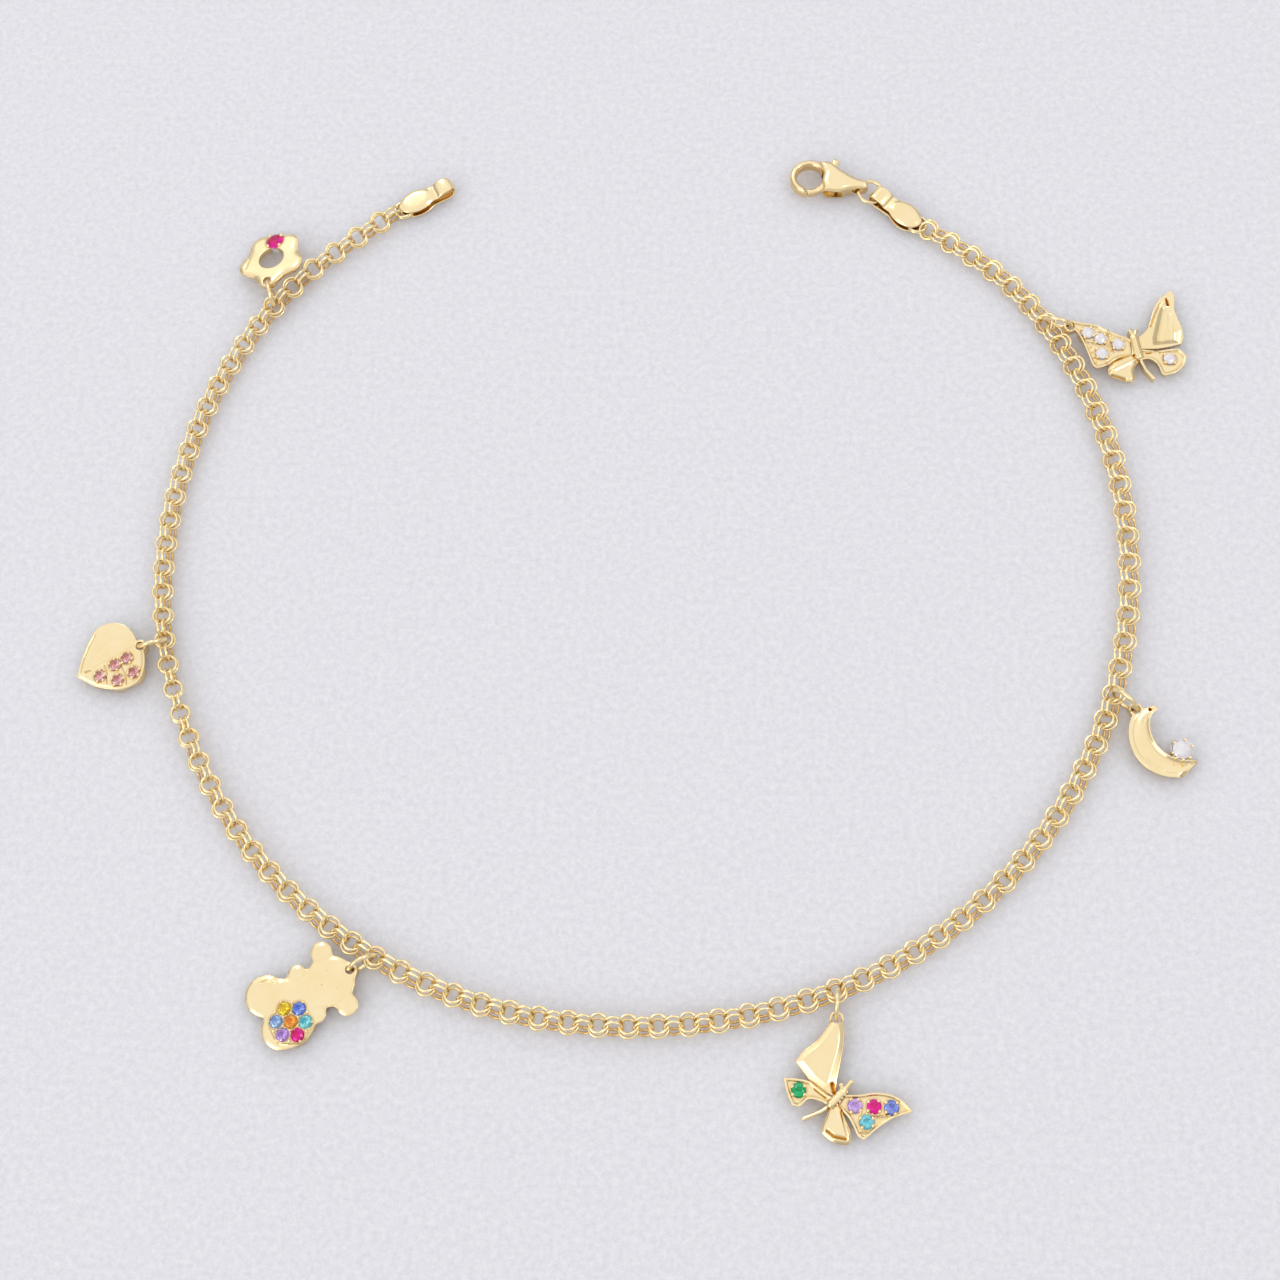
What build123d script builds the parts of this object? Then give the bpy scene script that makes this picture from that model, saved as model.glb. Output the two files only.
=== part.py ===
"""Charm anklet: a double-ring chain with six charms, end tags and a lobster clasp, lying open on a flat surface.

Millimetres, +Z up. The anklet rests on z = 0 and its origin is the middle of its footprint.
"""

import os
from math import asin, atan2, cos, degrees, hypot, pi, radians, sin, sqrt, tan

from build123d import *

# ---- driving dimensions --------------------------------------------------------------------------

MIDDLE = Vector(-0.545, 2.42)        # middle of the footprint in the layout's own coordinates

CHAIN_DIAMETER = 2.0
CHAIN_HEIGHT = CHAIN_DIAMETER / 2   # height of the chain's axis above the surface

RING_RADIUS = 1.33                  # charm jump rings: middle of the wire
RING_WIRE = 0.44
RING_CLEARANCE = 0.1                # all round the wire where it passes through the chain
RING_HEIGHT = RING_RADIUS + RING_WIRE / 2 + 0.02
HOLE_RADIUS = RING_WIRE / 2 + 0.2   # holes in the charms for the jump rings
LUG_RADIUS = HOLE_RADIUS + 0.22     # metal round those holes

TAG_LENGTH = 6.2
TAG_WIDTH = 2.5                     # across the oval plates
TAG_BAND_WIDTH = 1.8                # across the folded eye
TAG_METAL = 0.25
TAG_EYE_RADIUS = 0.85               # outside of the folded eye
TAG_TIP_GAP = 0.62                  # between the two plates at the tip

CLASP_PLACE = Vector(16.38, 50.9)   # middle of the hook's hole
CLASP_HEADING = -10.3               # from the hook to the tail
CLASP_HEIGHT = 2.0
HOOK_OUTER = 2.0
HOOK_INNER = 1.33
HOOK_HEIGHT = 1.3
PIVOT = Vector(2.4, -0.2)
PIN_RADIUS = 0.28
PIN_CLEARANCE = 0.05
GATE_REACH = 2.8                    # from the pivot to the gate's tip
LEVER_HEIGHT = 0.9
SLOT_HEIGHT = 1.0
LEVER_TRAVEL = 22                   # degrees that the trigger is pulled back
TAIL_PLACE = 5.35
TAIL_OUTER = 0.85
TAIL_HOLE = 0.42
TAIL_WIDTH = 0.9

TAIL_HOLE_HEADING = 60              # the tail's hole runs this way
CLASP_RING_RADIUS = 1.22
CLASP_RING_WIRE = 0.38
CLASP_RING_PLAY = 0.02              # it lies this much nearer the tag

STONE_CLEARANCE = 0.05
STONE_SINK = 0.05                   # the girdle lies this far below the metal's face

# The chain's route over the surface, from the end tag round to the clasp tag.
ROUTE = [
    (-26.35, 47.3), (-31.2, 44.2), (-36.2, 39.9), (-41.0, 33.6), (-44.9, 25.4), (-47.3, 15.7),
    (-47.7, 5.8), (-46.0, -4.0), (-42.2, -13.1), (-36.7, -21.4), (-29.6, -28.2), (-21.2, -33.4),
    (-11.9, -36.8), (-2.0, -38.1), (7.8, -37.6), (17.5, -35.2), (26.3, -30.9), (34.1, -24.6),
    (40.2, -16.9), (44.6, -8.0), (46.9, 1.7), (47.3, 11.5), (45.8, 21.4), (42.2, 30.6),
    (37.6, 37.6), (32.6, 42.1), (27.8, 45.2),
]

# Where each charm hangs: distance along the chain from the end tag, the ring's heading, how far the
# ring's hook lies beyond the chain's axis, the height of the charm at its hole, and the heading and
# reach from the hole to the edge that rests on the surface.
HANGERS = {
    #                    along  heading beyond height lean  reach
    "flower":             (16.6, 106,  0.0,   1.90, 135,  5.34),
    "heart":              (55.6, 195,  0.1,   1.10, 205,  6.90),
    "bear":               (95.5, 210,  0.0,   1.10, 212, 10.00),
    "coloured_butterfly": (139.6, 268, -0.15, 1.15, 272, 11.30),
    "moon":               (179.6, -42, 0.0,   1.15, -45,  7.60),
    "white_butterfly":    (220.8, -16, 0.0,   1.15,   0, 11.50),
}

os.makedirs("parts", exist_ok=True)


def keep(solid, name):
    solid.label = name
    export_step(solid, f"parts/{name}.step")
    return solid


def compass(heading, length=1.0):
    return Vector(length * cos(radians(heading)), length * sin(radians(heading)))


def at(place, height):
    """A layout place as a point of the anklet's own frame."""
    return Vector(place.X - MIDDLE.X, place.Y - MIDDLE.Y, height)


# ---- chain ---------------------------------------------------------------------------------------

def corner_radii(points):
    """Arcs as large as the two runs at each corner allow."""
    radii = []
    for before, corner, after in zip(points, points[1:], points[2:]):
        run_in = corner - before
        run_out = after - corner
        shorter = min(run_in.length, run_out.length)
        half_turn = radians(run_in.get_angle(run_out)) / 2
        radii.append(0.45 * shorter / tan(half_turn))
    return radii


route = [at(Vector(*place), CHAIN_HEIGHT) for place in ROUTE]
radii = corner_radii(route)
print("chain arc radii:", " ".join(f"{radius:.0f}" for radius in radii))
with BuildLine() as chain_path:
    FilletPolyline(*route, radius=radii)
chain_wire = chain_path.wires()[0]


class Hanger:
    """The jump ring of one charm, and the plane that the charm's back lies in."""

    def __init__(self, name):
        along, heading, beyond, height, lean, reach = HANGERS[name]
        on_axis = chain_wire.position_at(along, PositionMode.LENGTH)
        self.heading = compass(heading)
        hook = on_axis - self.heading * beyond
        to_hook = sqrt(RING_RADIUS**2 - (RING_HEIGHT - CHAIN_HEIGHT) ** 2)
        to_hole = sqrt(RING_RADIUS**2 - (RING_HEIGHT - height) ** 2)
        self.centre = Vector(hook.X, hook.Y, RING_HEIGHT) + self.heading * to_hook
        hole = self.centre + self.heading * to_hole
        self.hole = Vector(hole.X, hole.Y, height)
        self.lean = compass(lean)
        self.reach = reach

    def charm_plane(self, hole_place, thickness):
        """The plane of a charm's back, with its own hole at the jump ring and its far edge at z = 0."""
        tilt = asin((self.hole.Z - thickness / 2) / self.reach)
        up = Vector(self.lean.X * sin(tilt), self.lean.Y * sin(tilt), cos(tilt))
        right = Vector(1, 0, -up.X / up.Z).normalized()
        away = up.cross(right)
        origin = self.hole - right * hole_place[0] - away * hole_place[1] - up * thickness / 2
        return Plane(origin=origin, x_dir=right, z_dir=up)

    def section_plane(self):
        """The plane across the ring's wire, at the point of the ring farthest from the chain."""
        return Plane(origin=self.centre + self.heading * RING_RADIUS,
                     x_dir=self.heading, z_dir=Vector(0, 0, 1))

    def axle(self):
        return Axis(self.centre, Vector(-self.heading.Y, self.heading.X, 0))


hangers = {name: Hanger(name) for name in HANGERS}

with BuildPart() as chain:
    with BuildSketch(Plane(origin=chain_wire @ 0, z_dir=chain_wire % 0)):
        Circle(CHAIN_DIAMETER / 2)
    sweep(path=chain_wire)
    section_times_length = pi * CHAIN_DIAMETER**2 / 4 * chain_wire.length
    print(f"chain length {chain_wire.length:.1f}, volume {chain.part.volume:.1f}"
          f" against section times length {section_times_length:.1f}")
    for hanger in hangers.values():
        with BuildSketch(hanger.section_plane()):
            Circle(RING_WIRE / 2 + RING_CLEARANCE)
        revolve(axis=hanger.axle(), mode=Mode.SUBTRACT)
keep(chain.part, "chain")

for name, hanger in hangers.items():
    with BuildPart() as ring:
        with BuildSketch(hanger.section_plane()):
            Circle(RING_WIRE / 2)
        revolve(axis=hanger.axle())
    keep(ring.part, f"{name}_ring")


# ---- outlines, holes and stones shared by the charms -----------------------------------------------

def outline_face(*spans):
    """A face inside straight spans of two points and curved spans of more."""
    with BuildSketch() as face:
        with BuildLine():
            for span in spans:
                if len(span) == 2:
                    Line(*span)
                else:
                    Spline(*span)
        make_face()
    return face.sketch


def lifted(plane, place, height=0.0):
    """The plane moved to a place of its own and up along its normal."""
    origin = plane.origin + plane.x_dir * place[0] + plane.y_dir * place[1] + plane.z_dir * height
    return Plane(origin=origin, x_dir=plane.x_dir, z_dir=plane.z_dir)


def seat_cutter(diameter, above):
    """The room for a stone, with its girdle at the local z = 0."""
    radius = diameter / 2 + STONE_CLEARANCE
    with BuildPart() as cutter:
        Cylinder(radius, above + 0.04 * diameter, align=(Align.CENTER, Align.CENTER, Align.MIN))
        with Locations((0, 0, -0.04 * diameter)):
            Cylinder(radius, 0.04 * diameter, align=(Align.CENTER, Align.CENTER, Align.MIN))
            Cone(0.1 * diameter, radius, 0.46 * diameter, align=(Align.CENTER, Align.CENTER, Align.MAX))
    return cutter.part


def cut_stone(plane, diameter, name):
    """An eight-sided cut stone on the plane of its girdle: table, crown, girdle, pavilion and culet."""
    radius = diameter / 2
    girdle = 0.02 * diameter
    with BuildPart() as stone:
        with BuildSketch(lifted(plane, (0, 0), -girdle)):
            RegularPolygon(radius, 8)
        extrude(amount=2 * girdle, dir=plane.z_dir)
        with BuildSketch(lifted(plane, (0, 0), girdle)):
            RegularPolygon(radius, 8)
        with BuildSketch(lifted(plane, (0, 0), girdle + 0.15 * diameter)):
            RegularPolygon(0.58 * radius, 8)
        loft()
        with BuildSketch(lifted(plane, (0, 0), -girdle)):
            RegularPolygon(radius, 8)
        with BuildSketch(lifted(plane, (0, 0), -girdle - 0.40 * diameter)):
            RegularPolygon(0.1 * radius, 8)
        loft()
    keep(stone.part, name)


def set_stones(plane, thickness, stones, charm):
    """Writes a charm's stones; each entry is name: (x, y, diameter)."""
    for name, (x, y, diameter) in stones.items():
        cut_stone(lifted(plane, (x, y), thickness - STONE_SINK), diameter, f"{charm}_stone_{name}")


def seat_places(plane, thickness, stones):
    """The located rooms that a charm's stones take out of its metal."""
    return [lifted(plane, (x, y), thickness - STONE_SINK).location * seat_cutter(diameter, 1.0)
            for x, y, diameter in stones.values()]


# ---- flower ----------------------------------------------------------------------------------------

FLOWER_THICKNESS = 0.8
FLOWER_HOLE = (0.0, -2.85)
FLOWER_EYE = 1.33
FLOWER_PETALS = 5
flower_stones = {"pink": (0.0, 2.2, 1.75)}
flower_plane = hangers["flower"].charm_plane(FLOWER_HOLE, FLOWER_THICKNESS)
with BuildPart() as flower:
    with BuildSketch(flower_plane):
        Circle(2.6)
        with PolarLocations(2.15, FLOWER_PETALS, start_angle=-90):
            Circle(1.28)
        with Locations(flower_stones["pink"][:2]):
            Circle(1.1)
        Circle(FLOWER_EYE, mode=Mode.SUBTRACT)
        with Locations(FLOWER_HOLE):
            Circle(HOLE_RADIUS, mode=Mode.SUBTRACT)
    extrude(amount=FLOWER_THICKNESS)
    add(seat_places(flower_plane, FLOWER_THICKNESS, flower_stones), mode=Mode.SUBTRACT)
    prong_circle = flower_stones["pink"][2] / 2 + STONE_CLEARANCE + 0.14
    with BuildSketch(lifted(flower_plane, flower_stones["pink"][:2], FLOWER_THICKNESS - 0.2)):
        with PolarLocations(prong_circle, 4, start_angle=45):
            Circle(0.14)
    extrude(amount=0.4)
keep(flower.part, "flower_charm")
set_stones(flower_plane, FLOWER_THICKNESS, flower_stones, "flower")

# ---- heart -----------------------------------------------------------------------------------------

HEART_THICKNESS = 1.1
HEART_HOLE = (2.85, 0.9)
HEART_RIM = 0.28
heart_stones = {
    "tip": (-0.9, -2.1, 1.1),
    "middle": (0.5, -1.0, 1.1),
    "upper": (1.65, -0.35, 1.1),
    "lower": (0.95, -2.55, 1.1),
    "right": (2.5, -1.8, 1.1),
}
heart_outline = [
    [(-3.25, -2.2), (-2.95, -0.3), (-2.4, 1.5), (-1.7, 2.8), (-0.4, 3.35), (1.0, 3.15), (2.0, 2.3),
     (2.55, 1.35)],
    [(2.55, 1.35), (3.1, 1.0)],
    [(3.1, 1.0), (3.4, 0.2), (3.5, -1.4), (2.9, -2.85), (1.3, -3.5), (-1.0, -3.25), (-3.25, -2.2)],
]
heart_dish = [
    [(-2.6, -1.5), (-2.35, -0.2), (-1.95, 1.2), (-1.35, 2.35), (-0.35, 2.95), (0.8, 2.8), (1.6, 2.1),
     (2.0, 1.25)],
    [(2.0, 1.25), (-2.6, -1.5)],
]
heart_plane = hangers["heart"].charm_plane(HEART_HOLE, HEART_THICKNESS)
with BuildPart() as heart:
    with BuildSketch(heart_plane):
        add(outline_face(*heart_outline))
        with Locations(HEART_HOLE):
            Circle(LUG_RADIUS)
            Circle(HOLE_RADIUS, mode=Mode.SUBTRACT)
    extrude(amount=HEART_THICKNESS)
    with BuildSketch(lifted(heart_plane, (0, 0), HEART_THICKNESS)):
        add(outline_face(*heart_dish))
    extrude(amount=-0.3, mode=Mode.SUBTRACT)
    add(seat_places(heart_plane, HEART_THICKNESS, heart_stones), mode=Mode.SUBTRACT)
keep(heart.part, "heart_charm")
set_stones(heart_plane, HEART_THICKNESS, heart_stones, "heart")

# ---- bear ------------------------------------------------------------------------------------------

BEAR_THICKNESS = 1.1
BEAR_TURN = 30                      # heading from the tummy to the head
BEAR_TUMMY = Vector(-1.3, -0.7)
BEAR_TO_HEAD = 4.05
BEAR_HEAD_RADIUS = 2.4
BEAR_HOLE_REACH = 2.15              # from the middle of the head to the hole
BEAR_STONE = 1.18
BEAR_STONE_CIRCLE = 1.4
BEAR_FLOWER = Vector(-1.13, -2.44)  # middle of the flower of stones, on the right leg


def on_bear(along, across):
    """A place on the bear: along its back towards the head, and across towards its right side."""
    place = BEAR_TUMMY + compass(BEAR_TURN, along) + compass(BEAR_TURN + 90, across)
    return (place.X, place.Y)


BEAR_HOLE = on_bear(BEAR_TO_HEAD + BEAR_HOLE_REACH, 0)
bear_stones = {"orange": (BEAR_FLOWER.X, BEAR_FLOWER.Y, BEAR_STONE)}
for turn, colour in enumerate(["aqua", "cornflower", "yellow", "light_blue", "lilac", "magenta"]):
    petal = BEAR_FLOWER + compass(60 * turn, BEAR_STONE_CIRCLE)
    bear_stones[colour] = (petal.X, petal.Y, BEAR_STONE)
bear_plane = hangers["bear"].charm_plane(BEAR_HOLE, BEAR_THICKNESS)
with BuildPart() as bear:
    with BuildSketch(bear_plane):
        with Locations(on_bear(0, 0)):
            Circle(2.4)
        with Locations(on_bear(2.0, 0)):
            Circle(1.9)
        with Locations(on_bear(BEAR_TO_HEAD, 0)):
            Circle(BEAR_HEAD_RADIUS)
        for side in (1, -1):
            with Locations(on_bear(BEAR_TO_HEAD + 0.5, 2.8 * side)):
                Circle(1.02)
            with Locations(on_bear(1.7, 2.15 * side)):
                Circle(0.85)
            with Locations(on_bear(-1.75, 1.75 * side)):
                Circle(1.95)
        with Locations(BEAR_FLOWER):
            Circle(2.2)
        with Locations(BEAR_HOLE):
            Circle(LUG_RADIUS)
            Circle(HOLE_RADIUS, mode=Mode.SUBTRACT)
    extrude(amount=BEAR_THICKNESS)
    add(seat_places(bear_plane, BEAR_THICKNESS, bear_stones), mode=Mode.SUBTRACT)
    with BuildSketch(lifted(bear_plane, (0, 0), BEAR_THICKNESS)):
        face_places = [on_bear(BEAR_TO_HEAD + 0.3, 0.95), on_bear(BEAR_TO_HEAD + 0.3, -0.95),
                       on_bear(BEAR_TO_HEAD - 0.75, 0)]
        with Locations(*face_places):
            Circle(0.13)
    extrude(amount=-0.15, mode=Mode.SUBTRACT)
keep(bear.part, "bear_charm")
set_stones(bear_plane, BEAR_THICKNESS, bear_stones, "bear")

# ---- coloured butterfly ----------------------------------------------------------------------------

BUTTERFLY_THICKNESS = 0.9
BODY_RISE = 0.3                     # the body stands this far above the wings
WING_STONE = 1.12
COLOURED_HOLE = (-1.9, 5.8)
coloured_stones = {
    "green": (-5.3, -0.65, WING_STONE),
    "lilac": (-0.3, -1.95, WING_STONE),
    "magenta": (1.4, -2.0, WING_STONE),
    "blue": (2.95, -2.05, WING_STONE),
    "aqua": (0.75, -3.35, WING_STONE),
}
coloured_wings = {
    "plain": [
        [(-1.85, 6.4), (-1.3, 5.2), (-1.2, 4.0), (-1.4, 2.6), (-1.9, 0.2)],
        [(-1.9, 0.2), (-2.0, -1.2)],
        [(-2.0, -1.2), (-3.2, -0.7)],
        [(-3.2, -0.7), (-4.2, 0.1)],
        [(-4.2, 0.1), (-5.6, 1.95)],
        [(-5.6, 1.95), (-4.9, 2.85), (-3.6, 3.9), (-2.55, 5.3), (-1.85, 6.4)],
    ],
    "left": [
        [(-6.7, 0.45), (-5.5, 0.4), (-4.2, 0.1), (-3.2, -0.7), (-2.2, -1.3)],
        [(-2.2, -1.3), (-2.6, -2.0)],
        [(-2.6, -2.0), (-3.4, -1.6), (-4.4, -1.45), (-5.2, -2.1), (-5.9, -2.0)],
        [(-5.9, -2.0), (-6.4, -0.8), (-6.7, 0.45)],
    ],
    "right": [
        [(-1.4, -1.0), (0.2, -0.95), (1.6, -0.75), (3.0, -0.95), (4.0, -1.5), (4.85, -2.4)],
        [(4.85, -2.4), (3.2, -2.95), (1.9, -3.75), (0.5, -4.95)],
        [(0.5, -4.95), (-0.1, -4.5), (-0.8, -3.1), (-1.9, -1.9)],
        [(-1.9, -1.9), (-1.4, -1.0)],
    ],
    "hind": [
        [(-2.5, -1.6), (-2.85, -2.9), (-3.3, -4.1), (-2.8, -4.8), (-1.9, -5.3), (-1.0, -5.35),
         (-0.65, -5.0)],
        [(-0.65, -5.0), (-0.75, -4.0), (-1.3, -2.8), (-1.6, -1.6)],
        [(-1.6, -1.6), (-2.5, -1.6)],
    ],
}


def butterfly(plane, wings, stones, hole, body, feeler, horns):
    """A flat butterfly: its wings, a raised body, a long feeler from the tail and two short horns."""
    with BuildPart() as charm:
        with BuildSketch(plane):
            for wing in wings.values():
                add(outline_face(*wing))
            with BuildLine():
                Polyline(*feeler)
            trace(line_width=0.32)
            with Locations(hole):
                Circle(LUG_RADIUS)
                Circle(HOLE_RADIUS, mode=Mode.SUBTRACT)
        extrude(amount=BUTTERFLY_THICKNESS)
        head, tail, width = body
        middle = ((head[0] + tail[0]) / 2, (head[1] + tail[1]) / 2)
        length = hypot(head[0] - tail[0], head[1] - tail[1]) + width
        turn = degrees(atan2(head[1] - tail[1], head[0] - tail[0]))
        with BuildSketch(plane):
            with Locations(Location((*middle, 0), (0, 0, turn))):
                SlotOverall(length, width)
            for horn in horns:
                with BuildLine():
                    Line(head, horn)
                trace(line_width=0.4)
        extrude(amount=BUTTERFLY_THICKNESS + BODY_RISE)
        add(seat_places(plane, BUTTERFLY_THICKNESS, stones), mode=Mode.SUBTRACT)
    return charm.part


coloured_plane = hangers["coloured_butterfly"].charm_plane(COLOURED_HOLE, BUTTERFLY_THICKNESS)
coloured_butterfly = butterfly(
    coloured_plane, coloured_wings, coloured_stones, COLOURED_HOLE,
    body=((-1.35, -0.75), (-2.4, -1.85), 0.75), feeler=[(-2.4, -1.85), (-3.3, -2.5), (-4.85, -3.15)],
    horns=[(-0.6, 0.15), (-1.5, -0.15)])
keep(coloured_butterfly, "coloured_butterfly_charm")
set_stones(coloured_plane, BUTTERFLY_THICKNESS, coloured_stones, "coloured_butterfly")

# ---- moon ------------------------------------------------------------------------------------------

MOON_THICKNESS = 1.1
MOON_HOLE = (-2.4, 3.1)
MOON_OUTER = ((0.9, 0.65), 4.1)
MOON_INNER = ((2.2, 1.6), 3.3)
MOON_CHANNEL = 0.3
moon_stones = {"clear": (1.75, -0.75, 1.85)}
moon_plane = hangers["moon"].charm_plane(MOON_HOLE, MOON_THICKNESS)
with BuildPart() as moon:
    with BuildSketch(moon_plane):
        with Locations(MOON_OUTER[0]):
            Circle(MOON_OUTER[1])
        with Locations(MOON_INNER[0]):
            Circle(MOON_INNER[1], mode=Mode.SUBTRACT)
        with BuildLine():
            Polyline((-2.6, 2.95), (-0.5, 3.5), (-0.3, 3.15), (3.25, -1.75), (1.75, -3.4), (7.0, -4.0),
                     (7.0, 7.0), (-2.4, 7.0), close=True)
        make_face(mode=Mode.SUBTRACT)
        with BuildLine():
            Polyline((-2.45, 3.0), (-1.6, 3.2), (-0.5, 3.5), (-0.3, 3.15), (-1.2, 2.4), close=True)
        make_face()
        with Locations(moon_stones["clear"][:2]):
            Circle(1.1)
        with Locations(MOON_HOLE):
            Circle(LUG_RADIUS)
            Circle(HOLE_RADIUS, mode=Mode.SUBTRACT)
    extrude(amount=MOON_THICKNESS)
    with BuildSketch(lifted(moon_plane, (0, 0), MOON_THICKNESS)):
        with Locations(MOON_OUTER[0]):
            Circle(MOON_OUTER[1] - 0.4)
        with Locations(MOON_INNER[0]):
            Circle(MOON_INNER[1] + 0.3, mode=Mode.SUBTRACT)
        with Locations((-1.5, 3.2)):
            Circle(1.5, mode=Mode.SUBTRACT)
        with Locations(moon_stones["clear"][:2]):
            Circle(1.1, mode=Mode.SUBTRACT)
        with Locations((2.9, -2.6)):
            Circle(1.5, mode=Mode.SUBTRACT)
    extrude(amount=-MOON_CHANNEL, mode=Mode.SUBTRACT)
    add(seat_places(moon_plane, MOON_THICKNESS, moon_stones), mode=Mode.SUBTRACT)
keep(moon.part, "moon_charm")
set_stones(moon_plane, MOON_THICKNESS, moon_stones, "moon")

# ---- white butterfly -------------------------------------------------------------------------------

WHITE_HOLE = (-5.8, 1.1)
white_stones = {
    "outer": (-4.1, 0.35, WING_STONE),
    "middle": (-2.9, -0.3, WING_STONE),
    "inner": (-1.15, -0.9, WING_STONE),
    "lower": (-2.8, -1.95, WING_STONE),
    "right": (3.9, -2.4, WING_STONE),
}
white_wings = {
    "left": [
        [(-6.2, 1.45), (-5.6, 1.6), (-4.4, 1.4), (-3.1, 1.2), (-2.0, 0.6), (0.3, -0.4)],
        [(0.3, -0.4), (0.4, -2.2)],
        [(0.4, -2.2), (-1.2, -2.5), (-2.4, -3.3), (-3.3, -3.6), (-3.8, -3.3)],
        [(-3.8, -3.3), (-4.5, -1.2), (-5.1, 0.2), (-6.2, 1.45)],
    ],
    "plain": [
        [(0.8, -0.2), (1.9, 1.0), (2.6, 3.2), (3.3, 4.4), (4.4, 5.3)],
        [(4.4, 5.3), (4.75, 4.6), (4.7, 3.0), (5.2, 1.4), (5.4, 0.2), (5.2, -0.7)],
        [(5.2, -0.7), (3.0, -1.3), (0.9, -1.4)],
        [(0.9, -1.4), (0.8, -0.2)],
    ],
    "small": [
        [(0.9, -1.4), (2.6, -1.55), (3.9, -1.35), (4.9, -1.3), (5.6, -2.1)],
        [(5.6, -2.1), (5.3, -3.1), (4.5, -3.9), (3.4, -4.3)],
        [(3.4, -4.3), (3.0, -4.0), (2.6, -3.0), (1.9, -2.5), (1.0, -2.6)],
        [(1.0, -2.6), (0.9, -1.4)],
    ],
    "hind": [
        [(0.2, -1.8), (-1.4, -2.6), (-2.2, -3.5), (-2.1, -4.3), (-0.9, -4.8), (0.1, -5.0), (0.4, -4.5)],
        [(0.4, -4.5), (0.35, -3.6), (0.9, -2.6)],
        [(0.9, -2.6), (0.2, -1.8)],
    ],
}
white_plane = hangers["white_butterfly"].charm_plane(WHITE_HOLE, BUTTERFLY_THICKNESS)
white_butterfly = butterfly(
    white_plane, white_wings, white_stones, WHITE_HOLE,
    body=((0.45, -0.2), (0.85, -2.2), 0.8), feeler=[(0.85, -2.2), (1.5, -3.7), (2.2, -4.55)],
    horns=[(0.1, 0.6), (0.65, 0.6)])
keep(white_butterfly, "white_butterfly_charm")
set_stones(white_plane, BUTTERFLY_THICKNESS, white_stones, "white_butterfly")


# ---- folded tags at the two ends of the chain ------------------------------------------------------

def folded_tag(tip, heading, name):
    """A strip folded into an eye, with an oval plate on each end of it, lying with its eye outward."""
    plane = Plane(origin=at(tip, 0), x_dir=compass(heading), z_dir=(0, 0, 1))
    plate = 0.62 * TAG_LENGTH
    eye = TAG_LENGTH - TAG_EYE_RADIUS
    eye_top = 2 * TAG_EYE_RADIUS - TAG_METAL / 2
    tip_top = 1.5 * TAG_METAL + TAG_TIP_GAP
    side = Plane(origin=plane.origin, x_dir=plane.x_dir, z_dir=-plane.y_dir)
    with BuildPart() as tag:
        with BuildSketch(side):
            with BuildLine():
                upper = Polyline((0, tip_top), (plate, tip_top + 0.15), (eye, eye_top))
                bend = ThreePointArc(upper @ 1, (TAG_LENGTH - TAG_METAL / 2, TAG_EYE_RADIUS),
                                     (eye, TAG_METAL / 2))
                Line(bend @ 1, (0, TAG_METAL / 2))
            trace(line_width=TAG_METAL)
        extrude(amount=TAG_WIDTH / 2, both=True)
        with BuildSketch(plane):
            with Locations((plate / 2, 0)):
                Ellipse(plate / 2, TAG_WIDTH / 2)
            with Locations((TAG_LENGTH / 2 + 0.9, 0)):
                Rectangle(TAG_LENGTH - 1.8, TAG_BAND_WIDTH)
        extrude(amount=3 * TAG_EYE_RADIUS, mode=Mode.INTERSECT)
        with BuildSketch(lifted(plane, (0.75, 0), TAG_METAL / 2)):
            Circle(0.2)
        extrude(amount=TAG_METAL + TAG_TIP_GAP)
    keep(tag.part, name)
    return plane


END_TAG_TIP = Vector(-26.4, 48.0)
END_TAG_HEADING = 28
CLASP_TAG_TIP = Vector(27.71, 45.28)
CLASP_TAG_HEADING = 140
folded_tag(END_TAG_TIP, END_TAG_HEADING, "end_tag")
clasp_tag_plane = folded_tag(CLASP_TAG_TIP, CLASP_TAG_HEADING, "clasp_tag")

# ---- lobster clasp ---------------------------------------------------------------------------------

clasp_middle = at(CLASP_PLACE, CLASP_HEIGHT / 2)
clasp_plane = Plane(origin=clasp_middle, x_dir=compass(CLASP_HEADING), z_dir=(0, 0, 1))
tail = clasp_middle + clasp_plane.x_dir * TAIL_PLACE
tail_plane = Plane(origin=tail, x_dir=compass(TAIL_HOLE_HEADING - 90), z_dir=compass(TAIL_HOLE_HEADING))


def below(height):
    return lifted(clasp_plane, (0, 0), -height / 2)


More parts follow.
